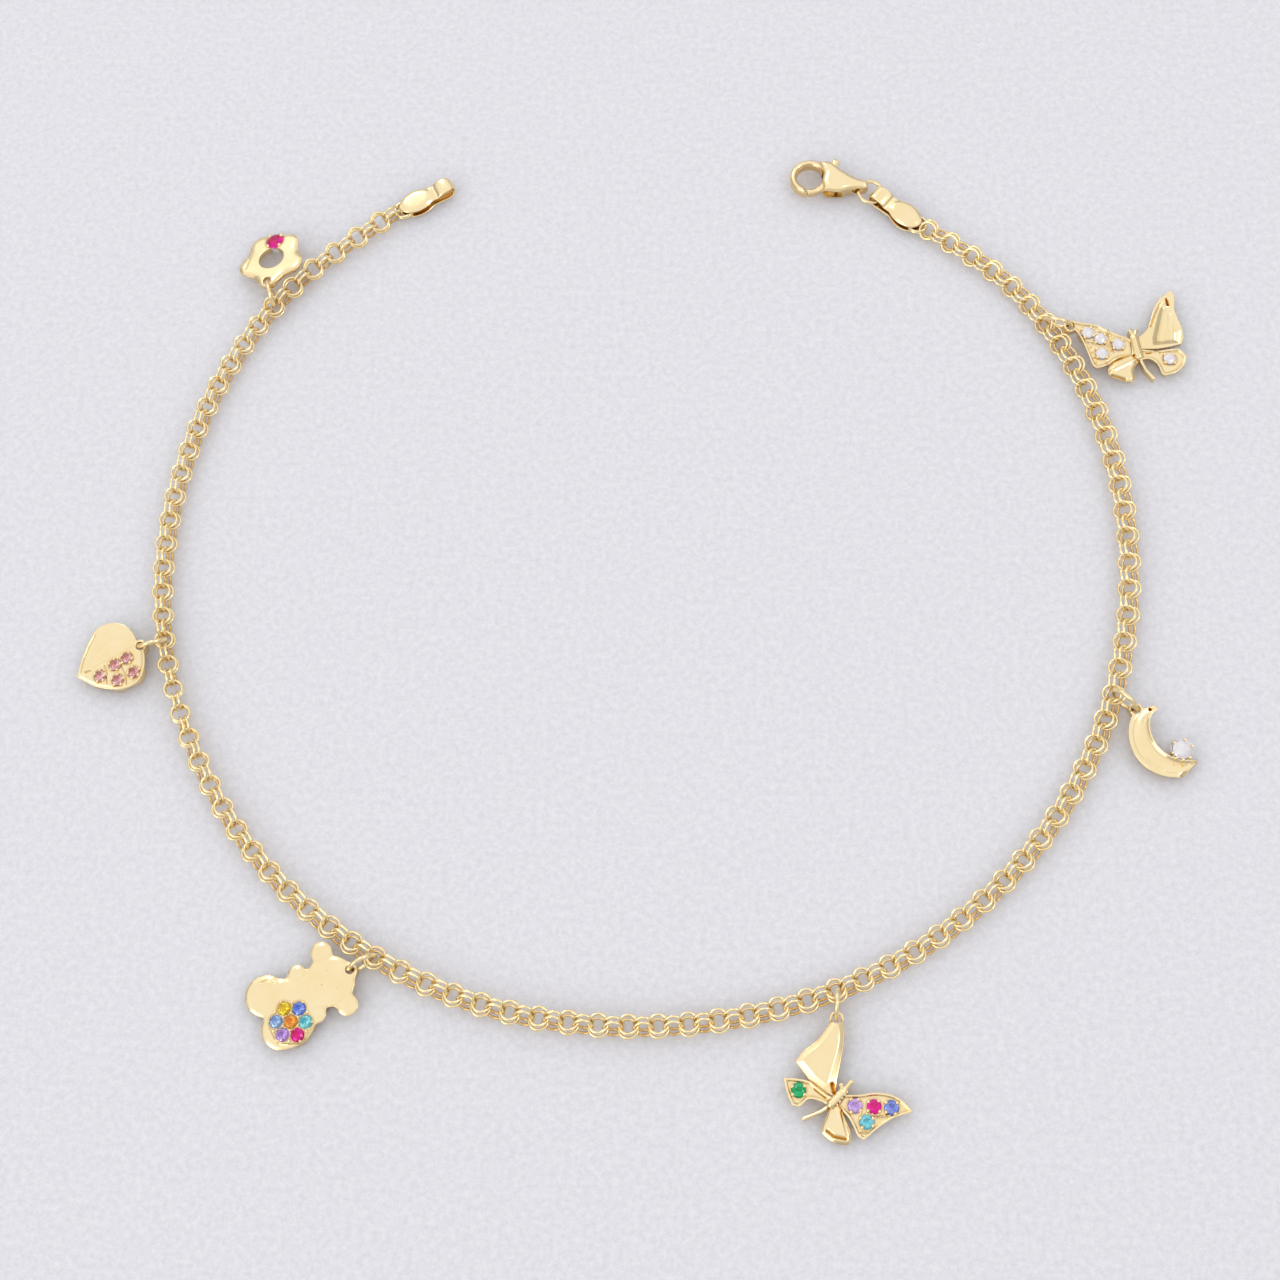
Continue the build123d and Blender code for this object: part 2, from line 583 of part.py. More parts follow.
with BuildPart() as clasp:
    with BuildSketch(below(HOOK_HEIGHT)):
        Circle(HOOK_OUTER)
        Circle(HOOK_INNER, mode=Mode.SUBTRACT)
        with Locations((2.5, -2.5)):
            Rectangle(5, 5, mode=Mode.SUBTRACT)
        with Locations(PIVOT):
            Circle(GATE_REACH + 0.06, mode=Mode.SUBTRACT)
        with BuildLine():
            ThreePointArc((0, HOOK_OUTER), (HOOK_OUTER * cos(pi / 4), HOOK_OUTER * sin(pi / 4)),
                          (HOOK_OUTER, 0))
            Polyline((HOOK_OUTER, 0), (HOOK_INNER, 0))
            ThreePointArc((HOOK_INNER, 0), (HOOK_INNER * cos(pi / 4), HOOK_INNER * sin(pi / 4)),
                          (0, HOOK_INNER))
            Polyline((0, HOOK_INNER), (0, HOOK_OUTER))
        make_face()
    extrude(amount=HOOK_HEIGHT)
    with BuildSketch(below(CLASP_HEIGHT)):
        with BuildLine():
            Spline((0.75, 1.85), (1.9, 1.9), (3.2, 1.2), (4.6, 0.6), (TAIL_PLACE, TAIL_WIDTH / 2))
            Line((TAIL_PLACE, TAIL_WIDTH / 2), (TAIL_PLACE, -TAIL_WIDTH / 2))
            Spline((TAIL_PLACE, -TAIL_WIDTH / 2), (4.5, -0.75), (3.3, -1.35), (1.85, -1.45))
            Polyline((1.85, -1.45), (1.45, -0.5), (1.45, 0.5), (0.75, 1.85))
        make_face()
        Circle(HOOK_INNER, mode=Mode.SUBTRACT)
    extrude(amount=CLASP_HEIGHT)
    with BuildSketch(tail_plane):
        Circle(TAIL_OUTER)
    extrude(amount=TAIL_WIDTH / 2, both=True)
    with BuildSketch(below(SLOT_HEIGHT)):
        with BuildLine():
            Polyline((1.2, -2.4), (3.6, -2.4), (3.7, -0.4), (4.1, 0.6), (4.1, 2.6), (1.75, 2.6),
                     (1.75, 0.9), (1.2, 0.5), close=True)
        make_face()
    extrude(amount=SLOT_HEIGHT, mode=Mode.SUBTRACT)
    with BuildSketch(lifted(clasp_plane, (PIVOT.X, PIVOT.Y), -SLOT_HEIGHT / 2 - 0.1)):
        Circle(PIN_RADIUS)
    extrude(amount=SLOT_HEIGHT + 0.2)
    with BuildSketch(tail_plane):
        Circle(TAIL_HOLE)
    extrude(amount=TAIL_OUTER, both=True, mode=Mode.SUBTRACT)
keep(clasp.part, "clasp_body")

with BuildPart() as lever:
    with BuildSketch(below(LEVER_HEIGHT)):
        Circle(HOOK_OUTER - 0.05)
        Circle(HOOK_INNER + 0.08, mode=Mode.SUBTRACT)
        with Locations((-2.5, 0), (2.5, 2.1)):
            Rectangle(5, 5, mode=Mode.SUBTRACT)
        with BuildLine():
            Polyline((1.3, -1.45), (2.1, -0.9), (2.6, -0.6), (1.9, 0.1), (1.45, -0.45), close=True)
        make_face()
        with Locations(PIVOT):
            Circle(0.68)
        with BuildLine():
            Polyline((PIVOT.X - 0.35, PIVOT.Y), (2.0, 2.2), (2.65, 2.2), (PIVOT.X + 0.45, PIVOT.Y),
                     close=True)
        make_face()
        with Locations((2.35, 2.5)):
            Circle(0.42)
    extrude(amount=LEVER_HEIGHT)
    with BuildSketch(below(LEVER_HEIGHT)):
        with Locations(PIVOT):
            Circle(GATE_REACH)
            Circle(PIN_RADIUS + PIN_CLEARANCE, mode=Mode.SUBTRACT)
    extrude(amount=LEVER_HEIGHT, mode=Mode.INTERSECT)
keep(lever.part, "clasp_lever")

pivot = clasp_middle + clasp_plane.x_dir * PIVOT.X + clasp_plane.y_dir * PIVOT.Y
print(f"clasp pivot {pivot.X:.3f} {pivot.Y:.3f} {pivot.Z:.3f}, the lever turns {LEVER_TRAVEL} degrees")

# The ring between the clasp's tail and the tag's eye lies nearly flat, through the middle of both.
tag_eye = clasp_tag_plane.origin + clasp_tag_plane.x_dir * (TAG_LENGTH - TAG_EYE_RADIUS)
tag_eye = Vector(tag_eye.X, tag_eye.Y, TAG_EYE_RADIUS)
run = tag_eye - tail
print(f"tail to tag eye {run.length:.2f}")
across = Vector(-run.Y, run.X, 0)
ring_normal = run.cross(across).normalized()
ring_middle = tail + run.normalized() * (CLASP_RING_RADIUS + CLASP_RING_PLAY)
with BuildPart() as clasp_ring:
    with BuildSketch(Plane(origin=ring_middle - run.normalized() * CLASP_RING_RADIUS,
                           x_dir=run.normalized(), z_dir=across.normalized())):
        Circle(CLASP_RING_WIRE / 2)
    revolve(axis=Axis(ring_middle, ring_normal))
keep(clasp_ring.part, "clasp_ring")
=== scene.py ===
"""The looks of the charm anklet: chain links, charms, cut stones, tags and clasp on a pale soft surface.

Lengths are in millimetres in the layout of part.py until a mesh is made, and metres after that.
"""

from math import asin, cos, pi, radians, sin, sqrt

import bmesh
import bpy
import numpy as np
from mathutils import Matrix, Vector


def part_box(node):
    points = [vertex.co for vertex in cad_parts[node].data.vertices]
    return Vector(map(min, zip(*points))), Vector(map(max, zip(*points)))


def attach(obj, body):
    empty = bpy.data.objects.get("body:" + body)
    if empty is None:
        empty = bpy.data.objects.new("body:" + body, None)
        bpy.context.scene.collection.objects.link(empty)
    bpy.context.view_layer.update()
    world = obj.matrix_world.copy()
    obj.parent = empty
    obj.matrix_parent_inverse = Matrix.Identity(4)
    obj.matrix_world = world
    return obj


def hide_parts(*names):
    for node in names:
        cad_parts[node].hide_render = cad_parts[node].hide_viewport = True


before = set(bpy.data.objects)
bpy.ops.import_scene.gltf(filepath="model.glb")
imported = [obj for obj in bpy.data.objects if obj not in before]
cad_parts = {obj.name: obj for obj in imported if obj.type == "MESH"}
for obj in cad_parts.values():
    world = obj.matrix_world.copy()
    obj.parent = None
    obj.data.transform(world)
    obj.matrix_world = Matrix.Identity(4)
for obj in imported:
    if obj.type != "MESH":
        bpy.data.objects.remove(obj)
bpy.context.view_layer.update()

# ---- small helpers ----

MM = 0.001
MIDDLE = np.array([-0.545, 2.42])    # middle of the footprint in the layout
UP = np.array([0, 0, 1.0])


def compass(heading, length=1.0):
    return np.array([length * cos(radians(heading)), length * sin(radians(heading))])


def level(heading):
    """A level unit vector."""
    return np.array([*compass(heading), 0])


def at(place, height):
    """A layout place as a point of the anklet's frame, in millimetres."""
    return np.array([place[0] - MIDDLE[0], place[1] - MIDDLE[1], height])


def unit(vector):
    return vector / np.linalg.norm(vector)


def around(count):
    """Angles all round, that many and evenly spaced."""
    return np.linspace(0, 2 * pi, count, endpoint=False)


def without_slivers(mesh):
    """Takes edges without length and faces without area out of a mesh."""
    shape = bmesh.new()
    shape.from_mesh(mesh)
    bmesh.ops.dissolve_degenerate(shape, dist=0.0002 * MM, edges=shape.edges)
    shape.to_mesh(mesh)
    shape.free()


def linked(name, data):
    """A new object in the scene."""
    item = bpy.data.objects.new(name, data)
    bpy.context.collection.objects.link(item)
    return item


def make_piece(name, node, part, material, body="anklet", sharp=50):
    """A mesh object that stands for a CAD node and rides on a body, from vertices in millimetres and faces.
    A fourth number for each vertex is its painted shade, from 0 to 1, which darkens the gold towards amber.
    Edges that turn by more than the sharp angle stay crisp, and without that angle every face is flat."""
    vertices, faces = part
    mesh = bpy.data.meshes.new(name)
    mesh.from_pydata((vertices[:, :3] * MM).tolist(), [], faces)
    # the painted shade goes on the mesh as a point attribute for the gold material
    if vertices.shape[1] == 4:
        mesh.attributes.new("painted_shade_amount", "FLOAT", "POINT").data.foreach_set("value", vertices[:, 3])
    mesh.materials.append(material)
    without_slivers(mesh)
    mesh.polygons.foreach_set("use_smooth", [sharp is not None] * len(mesh.polygons))
    if sharp is not None:
        mesh.set_sharp_from_angle(angle=radians(sharp))
    mesh.update()
    piece = linked(name, mesh)
    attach(piece, body)
    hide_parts(node)
    return piece


def moved(part, place):
    vertices, faces = part
    return vertices + np.array([*place, 0]), faces


def joined(parts):
    """One set of vertices and faces from several."""
    vertices, faces = [], []
    count = 0
    for points, polygons in parts:
        vertices.append(points)
        faces += [[count + corner for corner in face] for face in polygons]
        count += len(points)
    return np.concatenate(vertices), faces


def closed_grid(rows, columns):
    """Quads of a grid of vertices that closes on itself both ways."""
    here = np.arange(rows * columns).reshape(rows, columns)
    below = np.roll(here, -1, axis=0)
    corners = [here, below, np.roll(below, -1, axis=1), np.roll(here, -1, axis=1)]
    return np.stack(corners, axis=-1).reshape(-1, 4).tolist()


def ring_mesh(centre, first, second, radius, wire, turns=64, section=16):
    """Vertices and faces of a ring of round wire; first and second span its plane."""
    turn = around(turns)[:, None, None]
    roll = around(section)[None, :, None]
    outward = np.cos(turn) * first + np.sin(turn) * second
    normal = np.cross(first, second)
    points = centre + (radius + wire / 2 * np.cos(roll)) * outward + wire / 2 * np.sin(roll) * normal
    return points.reshape(-1, 3), closed_grid(turns, section)


# ---- materials ----


def node_material(name):
    """A material with its node tree and the inputs of its shader."""
    material = bpy.data.materials.new(name)
    material.use_nodes = True
    tree = material.node_tree
    return material, tree, tree.nodes["Principled BSDF"].inputs


def noise(tree, scale, detail=3.0, roughness=0.6):
    """Noise over the object's own coordinates; scale is in features per millimetre."""
    where = tree.nodes.new("ShaderNodeTexCoord")
    texture = tree.nodes.new("ShaderNodeTexNoise")
    texture.inputs["Scale"].default_value = scale / MM
    texture.inputs["Detail"].default_value = detail
    texture.inputs["Roughness"].default_value = roughness
    tree.links.new(where.outputs["Object"], texture.inputs["Vector"])
    return texture.outputs["Fac"]


def ramp(tree, factor, low, high):
    """A smooth change from one colour or grey to another."""
    colours = tree.nodes.new("ShaderNodeValToRGB")
    for stop, place, colour in zip(colours.color_ramp.elements, (0.35, 0.65), (low, high)):
        stop.position = place
        stop.color = (*colour, 1)
    tree.links.new(factor, colours.inputs["Fac"])
    return colours.outputs["Color"]


def relief(tree, height, strength, depth):
    """A fine unevenness, with its depth in millimetres."""
    bump = tree.nodes.new("ShaderNodeBump")
    bump.inputs["Strength"].default_value = strength
    bump.inputs["Distance"].default_value = depth * MM
    tree.links.new(height, bump.inputs["Height"])
    return bump.outputs["Normal"]


# colour of the painted shade on the gold
PAINTED_SHADE_AMBER = (0.60, 0.33, 0.08)


def gold_material(name, light, deep, polish, satin, strength):
    """Polished yellow gold with fine handling marks: the roughness and tone vary over the surface, and a
    painted shade given by each vertex darkens it to amber in recesses and other shaded places."""
    material, tree, shader = node_material(name)
    shader["Metallic"].default_value = 1.0
    # painted shade: each vertex's painted shade amount mixes the gold towards amber
    depth = tree.nodes.new("ShaderNodeAttribute")
    depth.attribute_name = "painted_shade_amount"
    painted_shade = tree.nodes.new("ShaderNodeMixRGB")
    painted_shade.inputs["Color2"].default_value = (*PAINTED_SHADE_AMBER, 1)
    tree.links.new(depth.outputs["Fac"], painted_shade.inputs["Fac"])
    tree.links.new(ramp(tree, noise(tree, 0.35), deep, light), painted_shade.inputs["Color1"])
    tree.links.new(painted_shade.outputs["Color"], shader["Base Color"])
    marks = noise(tree, 1.6, 6.0, 0.7)
    tree.links.new(ramp(tree, marks, (polish,) * 3, (satin,) * 3), shader["Roughness"])
    tree.links.new(relief(tree, noise(tree, 5.0), strength, 0.02), shader["Normal"])
    return material


def stone_material(name, colour, deep, index=1.45, clearness=0.92, patches=0.9):
    """Cut glass: tinted light passes through it, deeper in places, and its facets are polished."""
    material, tree, shader = node_material(name)
    tree.links.new(ramp(tree, noise(tree, patches, 2.0), deep, colour), shader["Base Color"])
    shader["Transmission Weight"].default_value = clearness
    shader["IOR"].default_value = index
    tree.links.new(ramp(tree, noise(tree, 3.0), (0.02,) * 3, (0.06,) * 3), shader["Roughness"])
    return material


gold = gold_material("polished_gold", (0.96, 0.80, 0.49), (0.95, 0.76, 0.43), 0.13, 0.22, 0.25)
chain_gold = gold_material("chain_gold", (0.99, 0.84, 0.52), (0.97, 0.79, 0.43), 0.08, 0.16, 0.15)

# ---- chain: pairs of rings, each pair at right angles to its neighbours ----

RING_RADIUS = 1.33
RING_WIRE = 0.44
RING_HEIGHT = RING_RADIUS + RING_WIRE / 2 + 0.02
CHAIN_HEIGHT = 1.0
TAG_GAP_MIDDLE = 0.56    # height of the links held between a tag's two plates

ROUTE = [
    (-26.1, 48.08), (-31.2, 44.2), (-36.2, 39.9), (-41.0, 33.6), (-44.9, 25.4), (-47.3, 15.7),
    (-47.7, 5.8), (-46.0, -4.0), (-42.2, -13.1), (-36.7, -21.4), (-29.6, -28.2), (-21.2, -33.4),
    (-11.9, -36.8), (-2.0, -38.1), (7.8, -37.6), (17.5, -35.2), (26.3, -30.9), (34.1, -24.6),
    (40.2, -16.9), (44.6, -8.0), (46.9, 1.7), (47.3, 11.5), (45.8, 21.4), (42.2, 30.6),
    (37.6, 37.6), (32.6, 42.1), (27.51, 45.51),
]

HANGERS = {
    # heading of the jump ring, height of the charm at its hole, heading and reach to its resting edge
    "flower": (106, 1.90, 135, 5.34),
    "heart": (195, 1.10, 205, 6.90),
    "bear": (210, 1.10, 212, 10.00),
    "coloured_butterfly": (268, 1.15, 272, 11.30),
    "moon": (-42, 1.15, -45, 7.60),
    "white_butterfly": (-16, 1.15, 0, 11.50),
}

# degrees that a jump ring leans over to its left, seen from the chain, and how much further along the
# chain the pair that it hangs in lies for it
RING_LEANS = {"heart": (21, -0.3), "white_butterfly": (-15, 0.05)}


def ring_centre(name):
    """The middle of a charm's jump ring, from its CAD node."""
    low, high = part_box(f"{name}_ring")
    return np.array((low + high) / 2) / MM


def route_curve():
    """Points along the chain's axis, read from a smooth spline over the route."""
    curve = bpy.data.curves.new("route", "CURVE")
    curve.dimensions = "3D"
    curve.resolution_u = 40
    spline = curve.splines.new("NURBS")
    spline.points.add(len(ROUTE) - 1)
    for point, place in zip(spline.points, ROUTE):
        point.co = (*at(place, CHAIN_HEIGHT) * MM, 1)
    spline.order_u = 3
    spline.use_endpoint_u = True
    holder = bpy.data.objects.new("route", curve)
    mesh = bpy.data.meshes.new_from_object(holder)
    points = np.array([vertex.co for vertex in mesh.vertices]) / MM
    bpy.data.objects.remove(holder)
    bpy.data.meshes.remove(mesh)
    bpy.data.curves.remove(curve)
    return points


axis = route_curve()
steps = np.linalg.norm(np.diff(axis, axis=0), axis=1)
travelled = np.concatenate([[0], np.cumsum(steps)])

LINK_PITCH = 1.334
LINK_RADIUS = 0.865
LINK_WIRE = 0.28
LINK_TURNS, LINK_SECTION = 26, 10    # steps round a ring and round its wire
LINK_OFFSETS = (0.183, 0.242)    # of each ring from the middle of its pair, for the two families
LINK_SLIPS = (0.16, -0.084)    # of each ring in its own plane, across the chain
LINK_TILTS = (14.8, 41.0)    # of the lying pairs, and of the standing pairs from upright

# How far the pairs roll about the chain's axis: distance along the chain, then a share of the full
# tilts away from a line to the camera's place, positive inwards.
ROLLS = [
    (0, -0.6), (13, -0.6), (20, -0.9), (48, -1.0), (58, -0.5), (68, 0.5), (90, 0.95), (160, 1.0),
    (222, 0.95), (231, 0.8), (238, 0.6),
]
CAMERA_PLACE = np.array([16.801, -81.814, 207.860])


def on_axis(distance):
    """The point of the chain's axis at a distance along it."""
    return np.array([np.interp(distance, travelled, axis[:, i]) for i in range(3)])


def pair_places():
    """Distances along the chain of the pairs' middles, each with the pitch of the links there."""
    stations = [0]
    to_hook = sqrt(RING_RADIUS**2 - (RING_HEIGHT - CHAIN_HEIGHT) ** 2)
    for name, (heading, *_) in HANGERS.items():
        hook = ring_centre(name)[:2] - compass(heading, to_hook)
        nearest = np.argmin(np.linalg.norm(axis[:, :2] - hook, axis=1))
        stations.append(travelled[nearest] + RING_LEANS.get(name, (0, 0))[1])
    stations.append(travelled[-1])
    places = [(0.0, LINK_PITCH)]
    for start, end in zip(stations, stations[1:]):
        parity = 1 if end == stations[-1] else 2
        count = parity * round((end - start) / LINK_PITCH / parity)
        pitch = (end - start) / count
        places.extend((start + pitch * number, pitch) for number in range(1, count + 1))
    return places


def chain_rings():
    """Two thin rings for each pair, and lying and standing pairs in turn, with painted shade on the inner
    side of each wire and on the lower part of each ring.
    """
    places = pair_places()
    inner_side = np.tile(-np.cos(around(LINK_SECTION)), LINK_TURNS)
    rings = []
    for number, (place, pitch) in enumerate(places):
        middle = on_axis(place)
        along = unit(on_axis(place + 0.3) - on_axis(place - 0.3))
        inward = np.array([-along[1], along[0], 0])
        sight = CAMERA_PLACE - middle
        lean = np.arctan2(sight @ inward, sight[2])
        share = np.interp(place, *np.array(ROLLS, dtype=float).T)
        rolls = [lean + radians(LINK_TILTS[0] * share), lean + radians(90 + LINK_TILTS[1] * share)]
        radius = LINK_RADIUS + (pitch - LINK_PITCH) / 2
        if number in (0, len(places) - 1):
            middle[2], roll, offset, slip = TAG_GAP_MIDDLE, 0.0, LINK_WIRE / 2, 0.0
        else:
            middle[2] = LINK_WIRE / 2 + max(
                radius * abs(sin(roll)) + abs(offset * cos(roll) - slip * share * sin(roll))
                for roll, offset, slip in zip(rolls, LINK_OFFSETS, LINK_SLIPS))
            family = number % 2
            roll, offset, slip = rolls[family], LINK_OFFSETS[family], LINK_SLIPS[family] * share
        normal = sin(roll) * inward + cos(roll) * UP
        across = np.cross(normal, along)
        for side in (-1, 1):
            centre = middle + side * (offset * normal + slip * across)
            points, quads = ring_mesh(centre, along, across, radius, LINK_WIRE, LINK_TURNS, LINK_SECTION)
            # painted shade: darker towards amber on the inner side of each wire and towards the bottom of
            # each ring
            low_side = (middle[2] - points[:, 2]) / radius
            painted_shade = np.clip(0.5 * inner_side + 0.55 * low_side, 0, 0.8)
            rings.append((np.column_stack([points, painted_shade]), quads))
    return rings


make_piece("chain_links", "chain", joined(chain_rings()), chain_gold, sharp=180)

for name, (heading, *_) in HANGERS.items():
    lean = radians(RING_LEANS.get(name, (0, 0))[0])
    upward = cos(lean) * UP + sin(lean) * level(heading + 90)
    ring = ring_mesh(ring_centre(name), level(heading), upward, RING_RADIUS, RING_WIRE - 0.01)
    make_piece(f"{name}_jump_ring", f"{name}_ring", ring, gold, sharp=180)


# ---- plates: a solid under a height function, inside an outline given by a distance ----


def smooth_curve(points, divisions=8):
    """A smooth curve through the points, as that many straight steps between each two."""
    points = np.array(points, dtype=float)
    padded = np.vstack([2 * points[0] - points[1], points, 2 * points[-1] - points[-2]])
    path = []
    for before, start, end, after in zip(padded, padded[1:], padded[2:], padded[3:]):
        for share in np.arange(divisions) / divisions:
            path.append(start + 0.5 * share * (end - before
                        + share * (2 * before - 5 * start + 4 * end - after
                                   + share * (3 * (start - end) + after - before))))
    return np.vstack([path, points[-1]])


def outline(start, *steps):
    """The corners of an outline that goes straight to a place, or by a smooth curve through a list of
    them, and closes on its start."""
    corners = [start]
    for step in steps:
        corners.extend([step] if isinstance(step, tuple) else smooth_curve([corners[-1], *step])[1:])
    return np.array(corners[:-1] if np.array_equal(corners[-1], start) else corners, dtype=float)


def to_segment(x, y, start, end):
    """Distance to a straight segment."""
    run = np.subtract(end, start)
    share = np.clip(((x - start[0]) * run[0] + (y - start[1]) * run[1]) / (run @ run), 0, 1)
    return np.hypot(x - start[0] - share * run[0], y - start[1] - share * run[1])


def to_path(x, y, points):
    """Distance to a path through the points."""
    return np.min([to_segment(x, y, start, end) for start, end in zip(points, points[1:])], axis=0)


def to_circle(x, y, place, radius):
    """Distance to a circle, negative inside it."""
    return np.hypot(x - place[0], y - place[1]) - radius


def to_outline(x, y, corners):
    """Distance to a closed outline, negative inside it."""
    nearest = to_path(x, y, np.vstack([corners, corners[0]]))
    inside = np.zeros(x.shape, dtype=bool)
    for start, end in zip(corners, np.roll(corners, -1, axis=0)):
        if start[1] != end[1]:
            crossing = start[0] + (y - start[1]) * (end[0] - start[0]) / (end[1] - start[1])
            inside ^= ((start[1] > y) != (end[1] > y)) & (x < crossing)
    return np.where(inside, -nearest, nearest)


def merged(first, second, softness=0.3):
    """The union of two shapes given by their distances, with the corner between them filled."""
    share = np.clip(0.5 + 0.5 * (second - first) / softness, 0, 1)
    return second + (first - second) * share - softness * share * (1 - share)


def pierced(x, y, shape, *holes):
    """A shape less round holes, each a place and a radius."""
    for place, radius in holes:
        shape = np.maximum(shape, -to_circle(x, y, place, radius))
    return shape


def rise(value, start, end):
    """0 before start, 1 after end and a smooth step between."""
    share = np.clip((value - start) / (end - start), 0, 1)
    return share * share * (3 - 2 * share)


def hump(distance, width):
    """1 on a line and 0 beyond half the width from it."""
    return rise(-np.abs(distance), -width / 2, 0)


def rolled(distance, width):
    """0 inside a shape, and up to 1 on its edge over a width that curves down."""
    return np.clip(1 + distance / width, 0, 1) ** 2


def worked(x, y, height, *marks):
    """A height with soft ridges and grooves; each has its own height, its width and its path, which may
    be a single spot."""
    for lift, width, *path in marks:
        away = to_path(x, y, path) if len(path) > 1 else to_circle(x, y, *path, 0)
        height = height + lift * hump(away, width)
    return height


def slopes(distance, x, y):
    """The distance at the places and its direction of increase."""
    reach = 0.004
    value = distance(x, y)
    slope_x = distance(x + reach, y) - distance(x - reach, y)
    slope_y = distance(x, y + reach) - distance(x, y - reach)
    length = np.maximum(np.hypot(slope_x, slope_y), 1e-9)
    return value, slope_x / length, slope_y / length


def recesses(heights, inside, cells=5, depth=0.16):
    """How far each place of a grid lies below the mean height of the metal round it, as a share of a
    depth."""
    total, weight = np.zeros((2, *heights.shape))
    for row in range(-cells, cells + 1):
        for column in range(-cells, cells + 1):
            if row**2 + column**2 <= cells**2:
                total += np.roll(heights * inside, (row, column), (0, 1))
                weight += np.roll(inside, (row, column), (0, 1))
    return np.clip((total / np.maximum(weight, 1) - heights) / depth, 0, 1)


def drawn_in(distance, x, y, edge, reach=0.3):
    """Places moved away from a nearby rim, so that walls lean inwards towards the back."""
    value, slope_x, slope_y = slopes(distance, x, y)
    room = np.clip(-edge - distance(x - reach * slope_x, y - reach * slope_y), 0, reach)
    shift = 0.8 * room * rise(value, -edge - 3 * reach, -edge)
    return x - shift * slope_x, y - shift * slope_y


def without_pinches(faces):
    """The faces less those at corners where two rims touch, and the edges of their rims."""
    while True:
        edges = {(start, end) for face in faces for start, end in zip(face, face[1:] + face[:1])}
        rim = [pair for pair in edges if pair[::-1] not in edges]
        starts, counts = np.unique([start for start, _ in rim], return_counts=True)
        pinched = set(starts[counts > 1].tolist())
        if not pinched:
            return faces, np.array(sorted(rim))
        faces = [face for face in faces if not pinched.intersection(face)]


def numbering(size, used):
    """The new number of each old one that is used."""
    numbers = np.full(size, -1)
    numbers[used] = np.arange(len(used))
    return numbers


UNDERSIDE_PAINTED_SHADE = 0.4    # painted shade of a plate's underside, on the same scale as the painted shade of its recesses


def plate(distance, top, edge, half, step=0.06, stones=(), mirrored=False):
    """Vertices and faces of a plate. distance(x, y) is negative inside its outline, top(x, y) gives its
    height, and edge is the radius of its rounded rims. Its back is flat and smaller all round, or else
    mirrors its top. A painted shade darkens it towards amber in its recesses, on its underside and just
    round its stones, given by their places and diameters."""
    line = np.arange(-half, half, step)
    x, y = np.meshgrid(line, line, indexing="ij")
    away = distance(x, y) + edge
    near = np.abs(away) < 0.5 * step
    for _ in range(2):
        value, slope_x, slope_y = slopes(distance, x[near], y[near])
        x[near] -= (value + edge) * slope_x
        y[near] -= (value + edge) * slope_y
    kept = away < 0.5 * step
    numbers = np.arange(kept.size).reshape(kept.shape)
    cells = np.stack([numbers[:-1, :-1], numbers[1:, :-1], numbers[1:, 1:], numbers[:-1, 1:]], axis=-1)
    cells = cells.reshape(-1, 4)
    whole = kept.ravel()[cells]
    faces = []
    for corners in (4, 3):
        chosen = whole.sum(axis=1) == corners
        faces += [cell[used].tolist() for cell, used in zip(cells[chosen], whole[chosen])]
    faces, rim = without_pinches(faces)
    used = np.unique(np.concatenate(faces))
    renumbered = numbering(kept.size, used)
    faces = [renumbered[face].tolist() for face in faces]
    rim = renumbered[rim]
    count = len(used)
    x, y = x.ravel()[used], y.ravel()[used]
    slope_x, slope_y = slopes(distance, x, y)[1:]
    high = top(x, y)
    field, inside = np.zeros((2, kept.size))
    field[used] = high
    inside[used] = 1
    # painted shade: darker where the top lies below the metal round it
    painted_shade = recesses(field.reshape(kept.shape), inside.reshape(kept.shape)).ravel()[used]
    # painted shade: a dark ring just round each stone
    for *place, diameter in stones:
        painted_shade = np.maximum(painted_shade, 0.55 * hump(to_circle(x, y, place, diameter / 2 + 0.1), 0.45))
    below_x, below_y = (x, y) if mirrored else drawn_in(distance, x, y, edge)
    upper = np.column_stack([x, y, high, painted_shade])
    low = -high if mirrored else 0 * high
    lower = np.column_stack([below_x, below_y, low, np.full(count, UNDERSIDE_PAINTED_SHADE)])
    way = np.column_stack([slope_x, slope_y, 0 * x, 0 * x])
    rim_points = np.unique(rim)
    vertices = [upper, lower]
    turns = np.linspace(0, pi / 2, 4)[1:]
    for turn in turns:
        out = edge * sin(turn) * way
        drop = np.array([0, 0, edge * (1 - cos(turn)), 0])
        # the rounded rims get half the painted shade of the top above them
        vertices += [(upper * [1, 1, 1, 0.5] + out - drop)[rim_points], (lower + out + drop)[rim_points]]
    ranks = numbering(count, rim_points)[rim]
    starts = 2 * count + 2 * len(rim_points) * np.arange(len(turns))
    ladder = [rim, *(start + ranks for start in starts),
              *(start + len(rim_points) + ranks for start in starts[::-1]), count + rim]
    walls = np.vstack([np.hstack([below, above[:, ::-1]]) for above, below in zip(ladder, ladder[1:])])
    underside = [[count + point for point in reversed(face)] for face in faces]
    return np.concatenate(vertices), faces + underside + walls.tolist()


def lathe(profile, segments=24):
    """A solid turned about the vertical from (radius, height) pairs; the first and last lie on the axis."""
    vertices = [(0, 0, profile[0][1])]
    for radius, height in profile[1:-1]:
        vertices += [(radius * cos(angle), radius * sin(angle), height) for angle in around(segments)]
    vertices.append((0, 0, profile[-1][1]))
    last = len(vertices) - 1
    faces = []
    for number in range(segments):
        following = (number + 1) % segments
        faces.append([0, 1 + following, 1 + number])
        for base in range(1, last - segments, segments):
            faces.append([base + number, base + following,
                          base + segments + following, base + segments + number])
        base = last - segments
        faces.append([last, base + number, base + following])
    return np.column_stack([vertices, np.zeros(len(vertices))]), faces


def rod(radius, bottom, top, segments=24):
    return lathe([(0, bottom), (radius, bottom), (radius, top), (0, top)], segments)


def ball(radius, height, rings=6, segments=10):
    """A rounded grain of metal."""
    angles = np.linspace(-pi / 2, pi / 2, rings + 1)
    return lathe([(radius * cos(angle), height * sin(angle)) for angle in angles], segments)


# ---- cut stones ----


